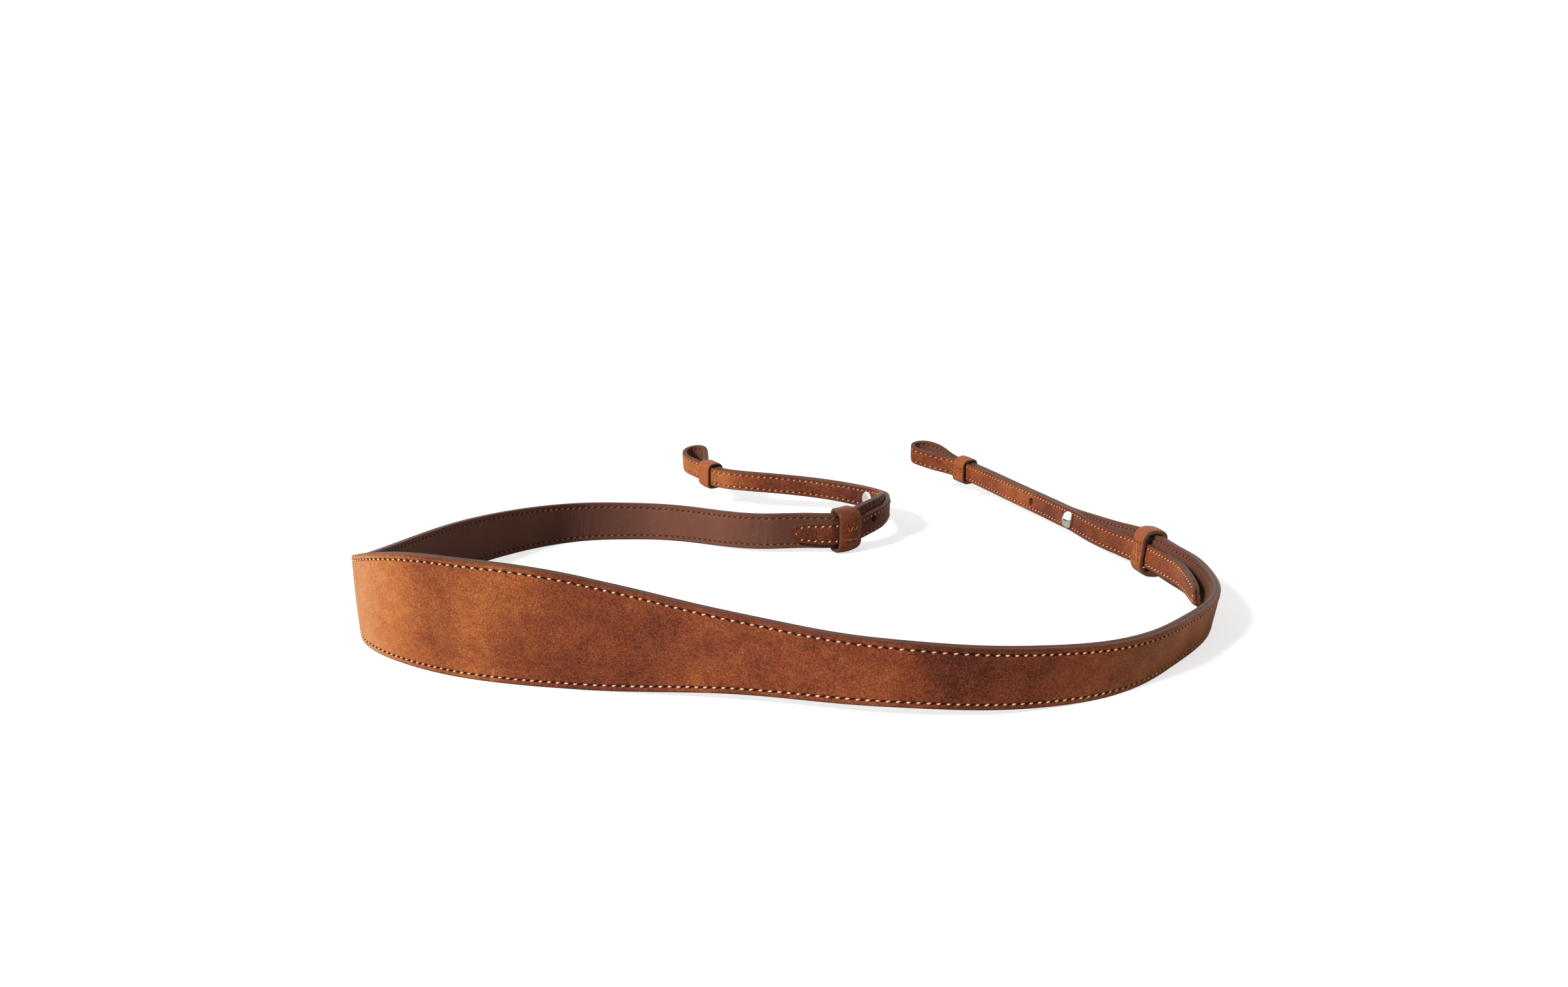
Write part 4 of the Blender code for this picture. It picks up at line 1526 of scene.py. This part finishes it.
@dataclass
class SeamThread:
    """The row of stitches round one face of the band, a short slanted strand from hole to hole."""

    band: Band
    side: Face
    strand: Strand = field(default_factory=Strand)
    reach: float = 0.25
    slant: float = 0.24
    proud: float = 0.06
    tongue_proud: float = 0.08
    sunk: float = 0.62
    tip_inset: float = 1.75
    length_spread: float = 0.05
    slant_spread: float = 0.25
    run_spread: float = 0.04
    across_spread: float = 0.03
    pad_tint: float = 0.2
    strap_tint: float = 0.68
    tint_spread: float = 0.15
    seed: int = 7
    rings: int = 7

    def rows(self) -> tuple[Array, Array, Array]:
        """Sets out the stitches.

        Returns:
            Each stitch's middle run, its middle across the band, and 1 where it crosses a tip.
        """
        runs = (np.arange(1, self.band.stitches - 1) + 0.5) * self.band.pitch
        across = self.band.read("width", runs) / 2 - self.band.stitch_inset(runs)
        ends = np.array([self.tip_inset, self.band.length - self.tip_inset])
        crossing = np.concatenate([np.zeros(2 * len(runs)), np.ones(2)])
        all_across = np.concatenate([across, -across, np.zeros(2)])
        return np.concatenate([runs, runs, ends]), all_across, crossing

    def build(self) -> Mesh:
        """Makes all stitches as one mesh, each a little different from the next.

        Returns:
            The mesh, with each stitch's tint, ply and depth stored in it.
        """
        runs, across, crossing = self.rows()
        random = np.random.default_rng(self.seed)
        each = (len(runs), 1)
        sign = self.side.value
        along = np.linspace(-1.0, 1.0, self.rings)[None, :]
        broad = self.band.broad(runs)[:, None]
        reach = self.reach * (0.7 + 0.3 * broad) * self.band.pitch
        reach = reach * (1 + random.normal(0, self.length_spread, each))
        slant = self.slant * (1 + random.normal(0, self.slant_spread, each)) * sign
        over = crossing[:, None]
        line_run = runs[:, None] + along * reach * (1 - over)
        line_run = line_run + random.normal(0, self.run_spread, each)
        line_across = across[:, None] + along * (slant * (1 - over) + reach * 1.1 * over)
        line_across = line_across + random.normal(0, self.across_spread, each)
        arch = 1 - np.abs(along) ** 2.6
        base = self.band.read("layer", line_run) + LAYER_GAP / 2
        proud = self.proud + self.tongue_proud * (1 - broad)
        level = base - self.sunk + (self.sunk + proud - self.strand.radius * 0.35) * arch
        on_pad = soft_step(self.band.read("width", runs), 15.0, 24.0)
        tint = random.normal(self.pad_tint, self.tint_spread, len(runs))
        tint = tint + self.strap_tint * (1 - on_pad)
        return self.strand.sew(
            self.name,
            self.band.surface(line_run, line_across, sign * level),
            unit(self.band.read("out", line_run)) * sign,
            self.strand.radius * (1 - 0.35 * np.abs(along) ** 3) * (1.25 - 0.25 * broad),
            tint=np.clip(tint, 0, 1),
            depth=arch * np.ones(each),
        )

    @property
    def name(self) -> str:
        """Names the piece."""
        return f"{self.side.label}_stitches"

    def dress(self, thread: Material) -> None:
        """Puts the stitches in the scene."""
        new_piece(self.name, self.build(), Slot.GRAIN, thread)


@dataclass
class Keeper:
    """A sewn leather loop round the strap and its return, bent as the strap is there."""

    route: StrapRoute
    end: StrapEnd
    large: bool
    length: float = 9.0
    room: float = 0.4
    front_room: float = 0.9
    back_round: float = 1.5
    edge_round: float = 0.42
    corner_steps: int = 9
    edge_steps: int = 4
    length_steps: int = 9
    crown: float = 0.16
    dip: float = 0.18
    dip_reach: float = 2.6
    strand: Strand = field(default_factory=lambda: Strand(twist=6.0))
    rings: int = 15

    @property
    def place(self) -> float:
        """Gives where the keeper's middle is."""
        return self.end.side * (self.end.large_keeper if self.large else self.end.small_keeper)

    @property
    def wall(self) -> float:
        """Gives the thickness of its leather."""
        return 1.6 if self.large else 1.4

    @property
    def front_round(self) -> float:
        """Gives the corners over the return."""
        return 3.4 if self.large else 2.2

    @property
    def name(self) -> str:
        """Names the piece."""
        return f"{'large' if self.large else 'small'}_keeper_band_{self.end.label}"

    def reaches(self) -> tuple[float, float, float]:
        """Gives the inside half width, the inside back over the grain and the inside front.

        Returns:
            The three distances from the middle of the strap.
        """
        half = float(self.route.width(self.place)) / 2 + self.room
        grain = float(self.route.layer_thick(self.place)) + LAYER_GAP / 2
        front = grain + LAYER_GAP + TONGUE_THICK + self.room + self.front_room
        return half, grain + self.room, front

    def outline(self) -> tuple[Array, Array, Array]:
        """Shapes the inside of the loop, starting at the seam in the middle of the front.

        Returns:
            The points (across, out), the outward normals, and the depth of the seam's groove.
        """
        half, back, front = self.reaches()
        front_corner = (self.front_round, self.front_round - front)
        back_corner = (self.back_round, back - self.back_round)
        corners = ((1, *front_corner), (1, *back_corner), (-1, *back_corner), (-1, *front_corner))
        cut = ((0.0, 0.3), (0.1, 0.08), (0.25, 0.0), (0.9, 0.0), (1.8, 0.0))
        rows = [(across, -front, 0.0, -1.0, depth) for across, depth in cut]
        for quarter, (side, radius, level) in enumerate(corners):
            angles = np.linspace(90.0 * quarter - 90.0, 90.0 * quarter, self.corner_steps)
            for angle in np.radians(angles):
                along, out = math.cos(angle), math.sin(angle)
                spot = (side * (half - radius) + radius * along, level + radius * out)
                rows.append((*spot, along, out, 0.0))
        rows += [(-across, -front, 0.0, -1.0, depth) for across, depth in cut[:0:-1]]
        table = np.array(rows)
        return table[:, :2], table[:, 2:4], table[:, 4]

    def wall_section(self) -> tuple[Array, Array, Array]:
        """Shapes the wall's rounded section.

        Returns:
            Its points along the strap and through the wall, and 1 where the edge is painted.
        """
        half, high, turn = self.length / 2, self.wall, self.edge_round
        points = []
        starts = ((half, high, 90.0), (half, 0.0, 0.0), (-half, 0.0, -90.0), (-half, high, 180.0))
        for far, level, start in starts:
            centre = (far - math.copysign(turn, far), turn if level == 0.0 else high - turn)
            for angle in np.radians(np.linspace(start, start - 90.0, self.edge_steps)):
                edge = (turn * math.cos(angle), turn * math.sin(angle))
                points.append((centre[0] + edge[0], centre[1] + edge[1]))
        inner = np.linspace(-half + turn, half - turn, self.length_steps)[1:-1]
        outside = [(float(along), high) for along in inner]
        inside = [(-along, 0.0) for along, _ in outside]
        first = 2 * self.edge_steps
        rows = np.array(points[:first] + inside + points[first:] + outside)
        painted = (np.abs(rows[:, 0]) > half - turn * 0.55).astype(float)
        return rows[:, 0], rows[:, 1], painted

    def shape(self, along: Array, across: Array, out: Array) -> Array:
        """Places points that are along the strap, across it and out of it at this keeper."""
        frames = self.route.frames(self.place + along.ravel())
        return frames.shifted(across.ravel(), out.ravel()).reshape(*along.shape, 3)

    def stand(self, along: Array, across: Array, front: Array | float = 1.0) -> Array:
        """Gives how proud the wall is of its flat shape.

        Args:
            along: distances along the strap from the keeper's middle.
            across: distances across the strap.
            front: 1 on the front, where the wall dips over the loop's seam.

        Returns:
            The height.
        """
        dip = np.exp(-((across / self.dip_reach) ** 2)) * front
        return self.crown * np.cos(np.pi * along / self.length) - self.dip * dip

    def build(self) -> Mesh:
        """Sweeps the wall's section round the outline.

        Returns:
            The closed mesh, with its leather in material 0 and its edges in material 1.
        """
        points, normals, seam = self.outline()
        along, through, painted = self.wall_section()
        groove = seam[:, None]
        through = through[None, :]
        stand = self.stand(along[None, :], points[:, :1], points[:, 1:] < 0)
        level = through + (through > 0.5) * (stand - groove)
        at_edge = (np.abs(along) > self.length / 2 - 0.2)[None, :]
        along_grid = along[None, :] * (1 - at_edge * groove * 0.06)
        across = points[:, :1] + normals[:, :1] * level
        out = points[:, 1:] + normals[:, 1:] * level
        faces = grid_faces(len(points), len(along), looped=True)
        mesh = new_mesh(self.name, self.shape(along_grid, across, out), faces.tolist())
        paint = (painted + np.roll(painted, -1)) > 1.5
        mesh.polygons.foreach_set("material_index", np.tile(paint, len(points)).astype(int))
        ones = np.ones_like(across)
        round_way = running_length(points)[:, None] * ones
        lay = np.stack([along_grid, round_way, through * ones], axis=-1)
        apart = 100.0 * (1 + self.end.side + 0.5 * self.large)
        edge = self.length / 2 - np.abs(along_grid)
        tan = self.end.large_tan if self.large else self.end.small_tan
        write_vectors(
            mesh,
            lay=lay + apart,
            seam=np.stack([0.0 * ones, edge + 5.0, edge], axis=-1),
            patina=np.stack([tan * ones, 0.0 * ones, 0.1 * ones], axis=-1),
        )
        return mesh

    def sewing_lines(self) -> list[tuple[tuple[float, float], tuple[float, float]]]:
        """Lists the stitches of the block that closes the loop: their ends along and across.

        Returns:
            Two ends for each stitch.
        """
        if not self.large:
            zigzag, more = ((-2.3, 1.6), (-1.6, -1.5), (0.2, 1.5), (1.9, -1.4)), []
        elif self.end is RIGHT:
            zigzag = ((-2.5, 3.1), (-1.3, -2.9), (0.3, 3.1), (1.5, -2.9), (2.6, 3.0))
            more = [((-2.4, -3.3), (2.4, -3.2))]
        else:
            zigzag = ((-2.6, 0.5), (-1.5, 2.6), (-0.6, 0.4), (0.5, 2.5), (1.4, 0.3), (2.5, 2.6))
            more = [((-2.5, -3.0), (-0.3, -3.2)), ((0.3, -3.2), (2.4, -3.0))]
            more.append(((-2.4, 0.3), (-2.6, -2.8)))
        return [*zip(zigzag[:-1], zigzag[1:]), *more]

    def hole_shades(self) -> list[tuple[float, float]]:
        """Lists the holes that the threads go into, along and across, each to get a dark tube sunk
        in it as painted shade.

        Returns:
            Their middles.
        """
        if not self.large:
            return [(-2.3, 1.9), (0.3, 1.9), (2.2, -1.7)]
        return [(-2.6, 3.5), (0.2, 3.6), (2.6, 3.4), (-2.7, -3.3), (0.0, -3.5), (2.7, -3.3)]

    def build_sewing(self) -> Mesh:
        """Makes the sewn block's threads, each from hole to hole over the front face, and a dark
        tube sunk in each hole as its painted shade.

        Returns:
            The mesh, with each thread's tint, ply and depth stored in it.
        """
        sunk_in, lifted, crossed, well_drop, well_half = 0.75, 0.8, 0.12, 0.3, 0.4
        threads = self.sewing_lines()
        # A short thick tube sunk in each hole, with depth 0, is painted dark as the hole's shade
        hole_shades = [
            ((along, across - well_half), (along, across + well_half))
            for along, across in self.hole_shades()
        ]
        sunk = np.array([0.0] * len(threads) + [1.0] * len(hole_shades))
        lines = np.array(threads + hole_shades)
        number = np.arange(len(lines))
        share = np.linspace(0.0, 1.0, self.rings)[None, :, None]
        line = lines[:, :1] + share * (lines[:, 1:] - lines[:, :1])
        arch = 1 - np.abs(np.linspace(-1, 1, self.rings)) ** 7
        front = self.reaches()[2] + self.wall
        over = crossed * (number % 2) - well_drop * sunk
        stand = self.stand(line[..., 0], line[..., 1])
        out = -(front + stand - sunk_in + (lifted + over[:, None]) * arch[None, :])
        middle = self.shape(line[..., 0], line[..., 1], out)
        return self.strand.sew(
            f"{self.name}_sewing",
            middle,
            -np.broadcast_to(self.route.frames(self.place).out[0], middle.shape),
            (self.strand.radius + 0.3 * sunk[:, None]) * np.ones(middle.shape[:2]),
            tint=0.45 + 0.3 * np.cos(number * 2.4),
            depth=arch[None, :] * (1 - sunk[:, None]),
        )

    def dress(self, leather: Material, edge: Material, thread: Material) -> None:
        """Puts the keeper and its sewing in the scene in place of the solid.

        Args:
            leather: the finish of its faces.
            edge: that of its edges.
            thread: that of its sewing.
        """
        band = new_piece(self.name, self.build(), Slot.KEEPER, leather, edge)
        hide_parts(f"{'large' if self.large else 'small'}_keeper_{self.end.label}")
        new_piece(f"{self.name}_sewing", self.build_sewing(), Slot.KEEPER, thread)


@dataclass
class Stud:
    """A two-piece stud: a domed button over the return, and a flat screw on the strap's grain."""

    route: StrapRoute
    end: StrapEnd
    head_diameter: float = 7.2
    head_height: float = 3.2
    rim_round: float = 0.22
    post_diameter: float = 3.0
    bore_diameter: float = 2.0
    shank_diameter: float = 1.3
    screw_diameter: float = 6.8
    screw_height: float = 1.0
    screw_round: float = 0.35
    recess_arm: float = 1.35
    recess_half: float = 0.3
    recess_depth: float = 0.55
    seat: float = 0.3
    steps: int = 64
    sharp_from: float = 40.0

    @property
    def frame(self) -> Array:
        """Gives the stud's frame."""
        return stud_matrix(self.route, self.end.side * self.end.stud)

    @property
    def screw_top(self) -> float:
        """Gives where the screw's flat top is, out of the middle of the strap."""
        return TONGUE_THICK / 2 + self.seat + self.screw_height

    def turned(self, name: str, profile: Sequence[tuple[float, float]]) -> Mesh:
        """Turns a profile that starts and ends on the axis.

        Args:
            name: the mesh's name.
            profile: rows of radius and height.

        Returns:
            The closed mesh, in place on the strap.
        """
        frame = self.frame
        rows = np.array(profile[1:-1])
        ring = circle(self.steps) @ frame[:2]
        body = frame[3] + rows[:, :1, None] * ring[None] + rows[:, 1:, None] * frame[2]
        ends = [frame[3] + profile[end][1] * frame[2] for end in (0, -1)]
        points = np.concatenate([body.reshape(-1, 3), ends])
        faces = grid_faces(len(rows), self.steps).tolist()
        top, foot = len(points) - 2, len(points) - 1
        last = (len(rows) - 1) * self.steps
        for index in range(self.steps):
            after = (index + 1) % self.steps
            faces += [(top, index, after), (foot, last + after, last + index)]
        mesh = new_mesh(name, points, faces)
        mesh.set_sharp_from_angle(angle=math.radians(self.sharp_from))
        return mesh

    def button_profile(self) -> list[tuple[float, float]]:
        """Draws the domed head, its neck and the bored post.

        Returns:
            Rows of radius and height, from the bore's floor round to the dome.
        """
        foot = -(DOUBLED + TONGUE_THICK / 2 + self.seat)
        radius, post, bore = self.head_diameter / 2, self.post_diameter / 2, self.bore_diameter / 2
        mouth, lip = TONGUE_THICK / 2, self.rim_round
        inside = [(0.0, foot), (bore, foot), (bore, mouth - 0.1), (bore + 0.1, mouth)]
        outside = [(post - 0.12, mouth), (post, mouth - 0.12), (post, foot + 0.02)]
        rim = [
            (radius - lip + lip * math.sin(angle), foot - lip + lip * math.cos(angle))
            for angle in np.radians([20, 45, 70, 90])
        ]
        dome = [
            (radius * math.sin(angle), foot - self.head_height * (0.25 + 0.75 * math.cos(angle)))
            for angle in np.radians(np.linspace(90.0, 0.0, 19))
        ]
        return [*inside, *outside, (radius - lip, foot), *rim, *dome]

    def screw_profile(self) -> list[tuple[float, float]]:
        """Draws the flat head and its shank.

        Returns:
            Rows of radius and height, from the head's top round to the shank's end.
        """
        foot = TONGUE_THICK / 2 + self.seat
        top, end = foot + self.screw_height, -TONGUE_THICK
        radius, shank, ease = self.screw_diameter / 2, self.shank_diameter / 2, self.screw_round
        rim = [
            (radius - ease + ease * math.sin(angle), top - ease + ease * math.cos(angle))
            for angle in np.radians([0, 18, 36, 54, 72, 90])
        ]
        under = [(radius, foot + 0.1), (radius - 0.1, foot), (shank, foot)]
        tip = [(shank, end + 0.15), (shank - 0.15, end), (0.0, end)]
        return [(0.0, top), (radius * 0.5, top + 0.02), *rim, *under, *tip]

    def slot_cutter(self) -> Object:
        """Makes the cutter of the screw's cross recess.

        Returns:
            An object that isn't kept.
        """
        arm, half = self.recess_arm, self.recess_half
        corners, outline = [(half, half), (half, arm), (-half, arm)], []
        for _ in range(4):
            outline += corners
            corners = [(-across, along) for along, across in corners]
        turned = np.array(outline) @ np.array([[TURN_COS, TURN_SIN], [-TURN_SIN, TURN_COS]])
        low, high = self.screw_top - self.recess_depth, self.screw_top + self.recess_depth
        return put_in_scene("recess", new_mesh("recess", *prism(self.frame, turned, low, high)))

    def dress(self, nickel: Material, satin: Material) -> None:
        """Puts the button and the screw in the scene in place of their solids.

        Args:
            nickel: the button's finish.
            satin: the screw's.
        """
        label = self.end.label
        dome = self.turned(f"button_{label}", self.button_profile())
        button = new_piece(f"button_{label}", dome, Slot.STUD, nickel)
        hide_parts(f"stud_button_{label}")
        flat = self.turned(f"screw_{label}", self.screw_profile())
        screw = new_piece(f"screw_{label}", flat, Slot.STUD, satin)
        cutter = self.slot_cutter()
        cut_away(screw, cutter)
        screw.data.set_sharp_from_angle(angle=math.radians(self.sharp_from))
        bpy.data.objects.remove(cutter)
        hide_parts(f"stud_screw_{label}")


@dataclass
class Studio:
    """The pale floor, the lights and the photograph's camera.

    The camera's place and the floor are in millimetres, and the card is in metres.
    """

    camera_place: Vector3 = (-2.89, -585.09, 140.0)
    pitch: float = 10.43
    lens: float = 34.28
    sensor: float = 36.0
    sun_toward: Vector3 = (-1.30, -1.42, 1.0)
    sun_strength: float = 4.2
    sun_angle: float = 9.0
    sun_colour: Colour = (1.0, 0.985, 0.96)
    sky_strength: float = 0.32
    seen_strength: float = 1.6
    mirrored_strength: float = 1.0
    card_power: float = 1.6
    card_size: tuple[float, float] = (0.9, 0.7)
    card_place: Vector3 = (-0.95, 0.35, 0.4)
    card_turn: float = -80.0
    floor_half: float = 6000.0

    def floor(self) -> None:
        """Lays the floor."""
        signs = ((-1, -1, 0), (1, -1, 0), (1, 1, 0), (-1, 1, 0))
        mesh = new_mesh("floor", self.floor_half * np.array(signs), [(0, 1, 2, 3)])
        mesh.materials.append(PaleFloor("pale_floor").make())
        floor = put_in_scene("floor", mesh)

    def surround(self) -> None:
        """Sets the white surround: faint as light, full in reflections, bright to the camera."""
        world = bpy.data.worlds.new("surround")
        world.use_nodes = True
        sheet = NodeSheet(world.node_tree)
        surround = sheet.tree.nodes["Background"]
        surround.inputs["Color"].default_value = (*WHITE, 1.0)
        seen = sheet.add("ShaderNodeLightPath", {}, {}, "Is Camera Ray")
        ends = {"To Min": self.sky_strength, "To Max": self.seen_strength}
        level = sheet.add("ShaderNodeMapRange", {}, {"Value": seen, **ends})
        mirrored = sheet.add("ShaderNodeLightPath", {}, {}, "Is Glossy Ray")
        terms = {0: mirrored, 1: self.mirrored_strength, 2: level}
        strength = sheet.add("ShaderNodeMath", {"operation": "MULTIPLY_ADD"}, terms)
        sheet.tree.links.new(strength.socket, surround.inputs["Strength"])
        bpy.context.scene.world = world

    def light(self) -> None:
        """Hangs the key light and a soft card on the left."""
        sun = bpy.data.lights.new("key", "SUN")
        sun.energy = self.sun_strength
        sun.angle = math.radians(self.sun_angle)
        sun.color = self.sun_colour
        toward = unit(np.array(self.sun_toward))
        side = unit(np.cross((0.0, 0.0, 1.0), toward))
        turned = Matrix(np.stack([side, np.cross(toward, side), toward]).T.tolist())
        put_in_scene("key", sun).matrix_world = turned.to_4x4()
        card = bpy.data.lights.new("left_card", "AREA")
        card.shape = "RECTANGLE"
        card.size, card.size_y = self.card_size
        card.energy = self.card_power
        turned = Matrix.Rotation(math.radians(self.card_turn), 4, "Y")
        put_in_scene("left_card", card).matrix_world = Matrix.Translation(self.card_place) @ turned

    def camera(self) -> None:
        """Sets up the photograph's camera."""
        data = bpy.data.cameras.new("camera")
        data.lens = self.lens
        data.sensor_width = self.sensor
        data.clip_start, data.clip_end = 0.01, 50.0
        camera = put_in_scene("camera", data)
        camera.location = [part * MM for part in self.camera_place]
        camera.rotation_euler = (math.radians(90.0 - self.pitch), 0.0, 0.0)
        bpy.context.scene.camera = camera
        bpy.context.scene.view_settings.view_transform = "Standard"

    def build(self) -> None:
        """Sets up the whole studio."""
        self.camera()
        self.surround()
        self.light()
        self.floor()


def main() -> None:
    """Builds every piece of the strap round the frame."""
    logging.basicConfig(level=logging.INFO, format="%(name)s: %(message)s")
    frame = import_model()
    LOG.info("frame with %d nodes", len(frame["nodes"]))
    Studio().build()
    route = StrapRoute()
    band = Band(route)
    LOG.info("band of %.1f mm, %d stitches of %.3f mm", band.length, band.stitches, band.pitch)
    grain = GrainLeather(
        "waxed_grain_leather",
        dark=(0.056, 0.0145, 0.009),
        middle=(0.215, 0.052, 0.019),
        light=(0.44, 0.153, 0.042),
        pale=(0.49, 0.238, 0.11),
    ).make()
    lining = GrainLeather(
        "smooth_lining_leather",
        dark=(0.066, 0.026, 0.018),
        middle=(0.122, 0.048, 0.031),
        light=(0.19, 0.077, 0.05),
        pale=(0.22, 0.095, 0.064),
        roughness=0.6,
        grain_depth=0.03,
        clouding=0.45,
        speckling=0.35,
        painted_hole_shade=(0.03, 0.011, 0.007),
    ).make()
    loop_leather = GrainLeather(
        "keeper_grain_leather",
        dark=(0.065, 0.0165, 0.009),
        middle=(0.21, 0.05, 0.0165),
        light=(0.41, 0.13, 0.04),
        pale=(0.46, 0.2, 0.09),
        roughness=0.45,
        grain_depth=0.035,
        gloss=0.09,
        clouding=0.7,
        speckling=0.6,
        sewn=False,
    ).make()
    edge = EdgePaint("painted_edge").make()
    raw = RawLeather("raw_hole_wall").make()
    thread = WaxedThread("waxed_thread", (0.82, 0.58, 0.37), (0.62, 0.215, 0.062)).make()
    dark_thread = WaxedThread("lining_thread", (0.4, 0.16, 0.075), (0.25, 0.085, 0.036)).make()
    sewing = WaxedThread("keeper_thread", (0.44, 0.15, 0.055), (0.24, 0.07, 0.026)).make()
    nickel = PolishedNickel("polished_nickel").make()
    satin = PolishedNickel("satin_nickel", roughness=0.46).make()
    punches = Punches(route).build()
    LeatherLayer(band, Face.GRAIN).dress(punches, grain, edge, raw)
    LeatherLayer(band, Face.LINING).dress(punches, lining, edge, raw)
    bpy.data.objects.remove(punches)
    SeamThread(band, Face.GRAIN).dress(thread)
    SeamThread(band, Face.LINING, seed=11).dress(dark_thread)
    for end in ENDS:
        for large in (True, False):
            Keeper(route, end, large).dress(loop_leather, edge, sewing)
        Stud(route, end).dress(nickel, satin)


if __name__ == "__main__":
    main()
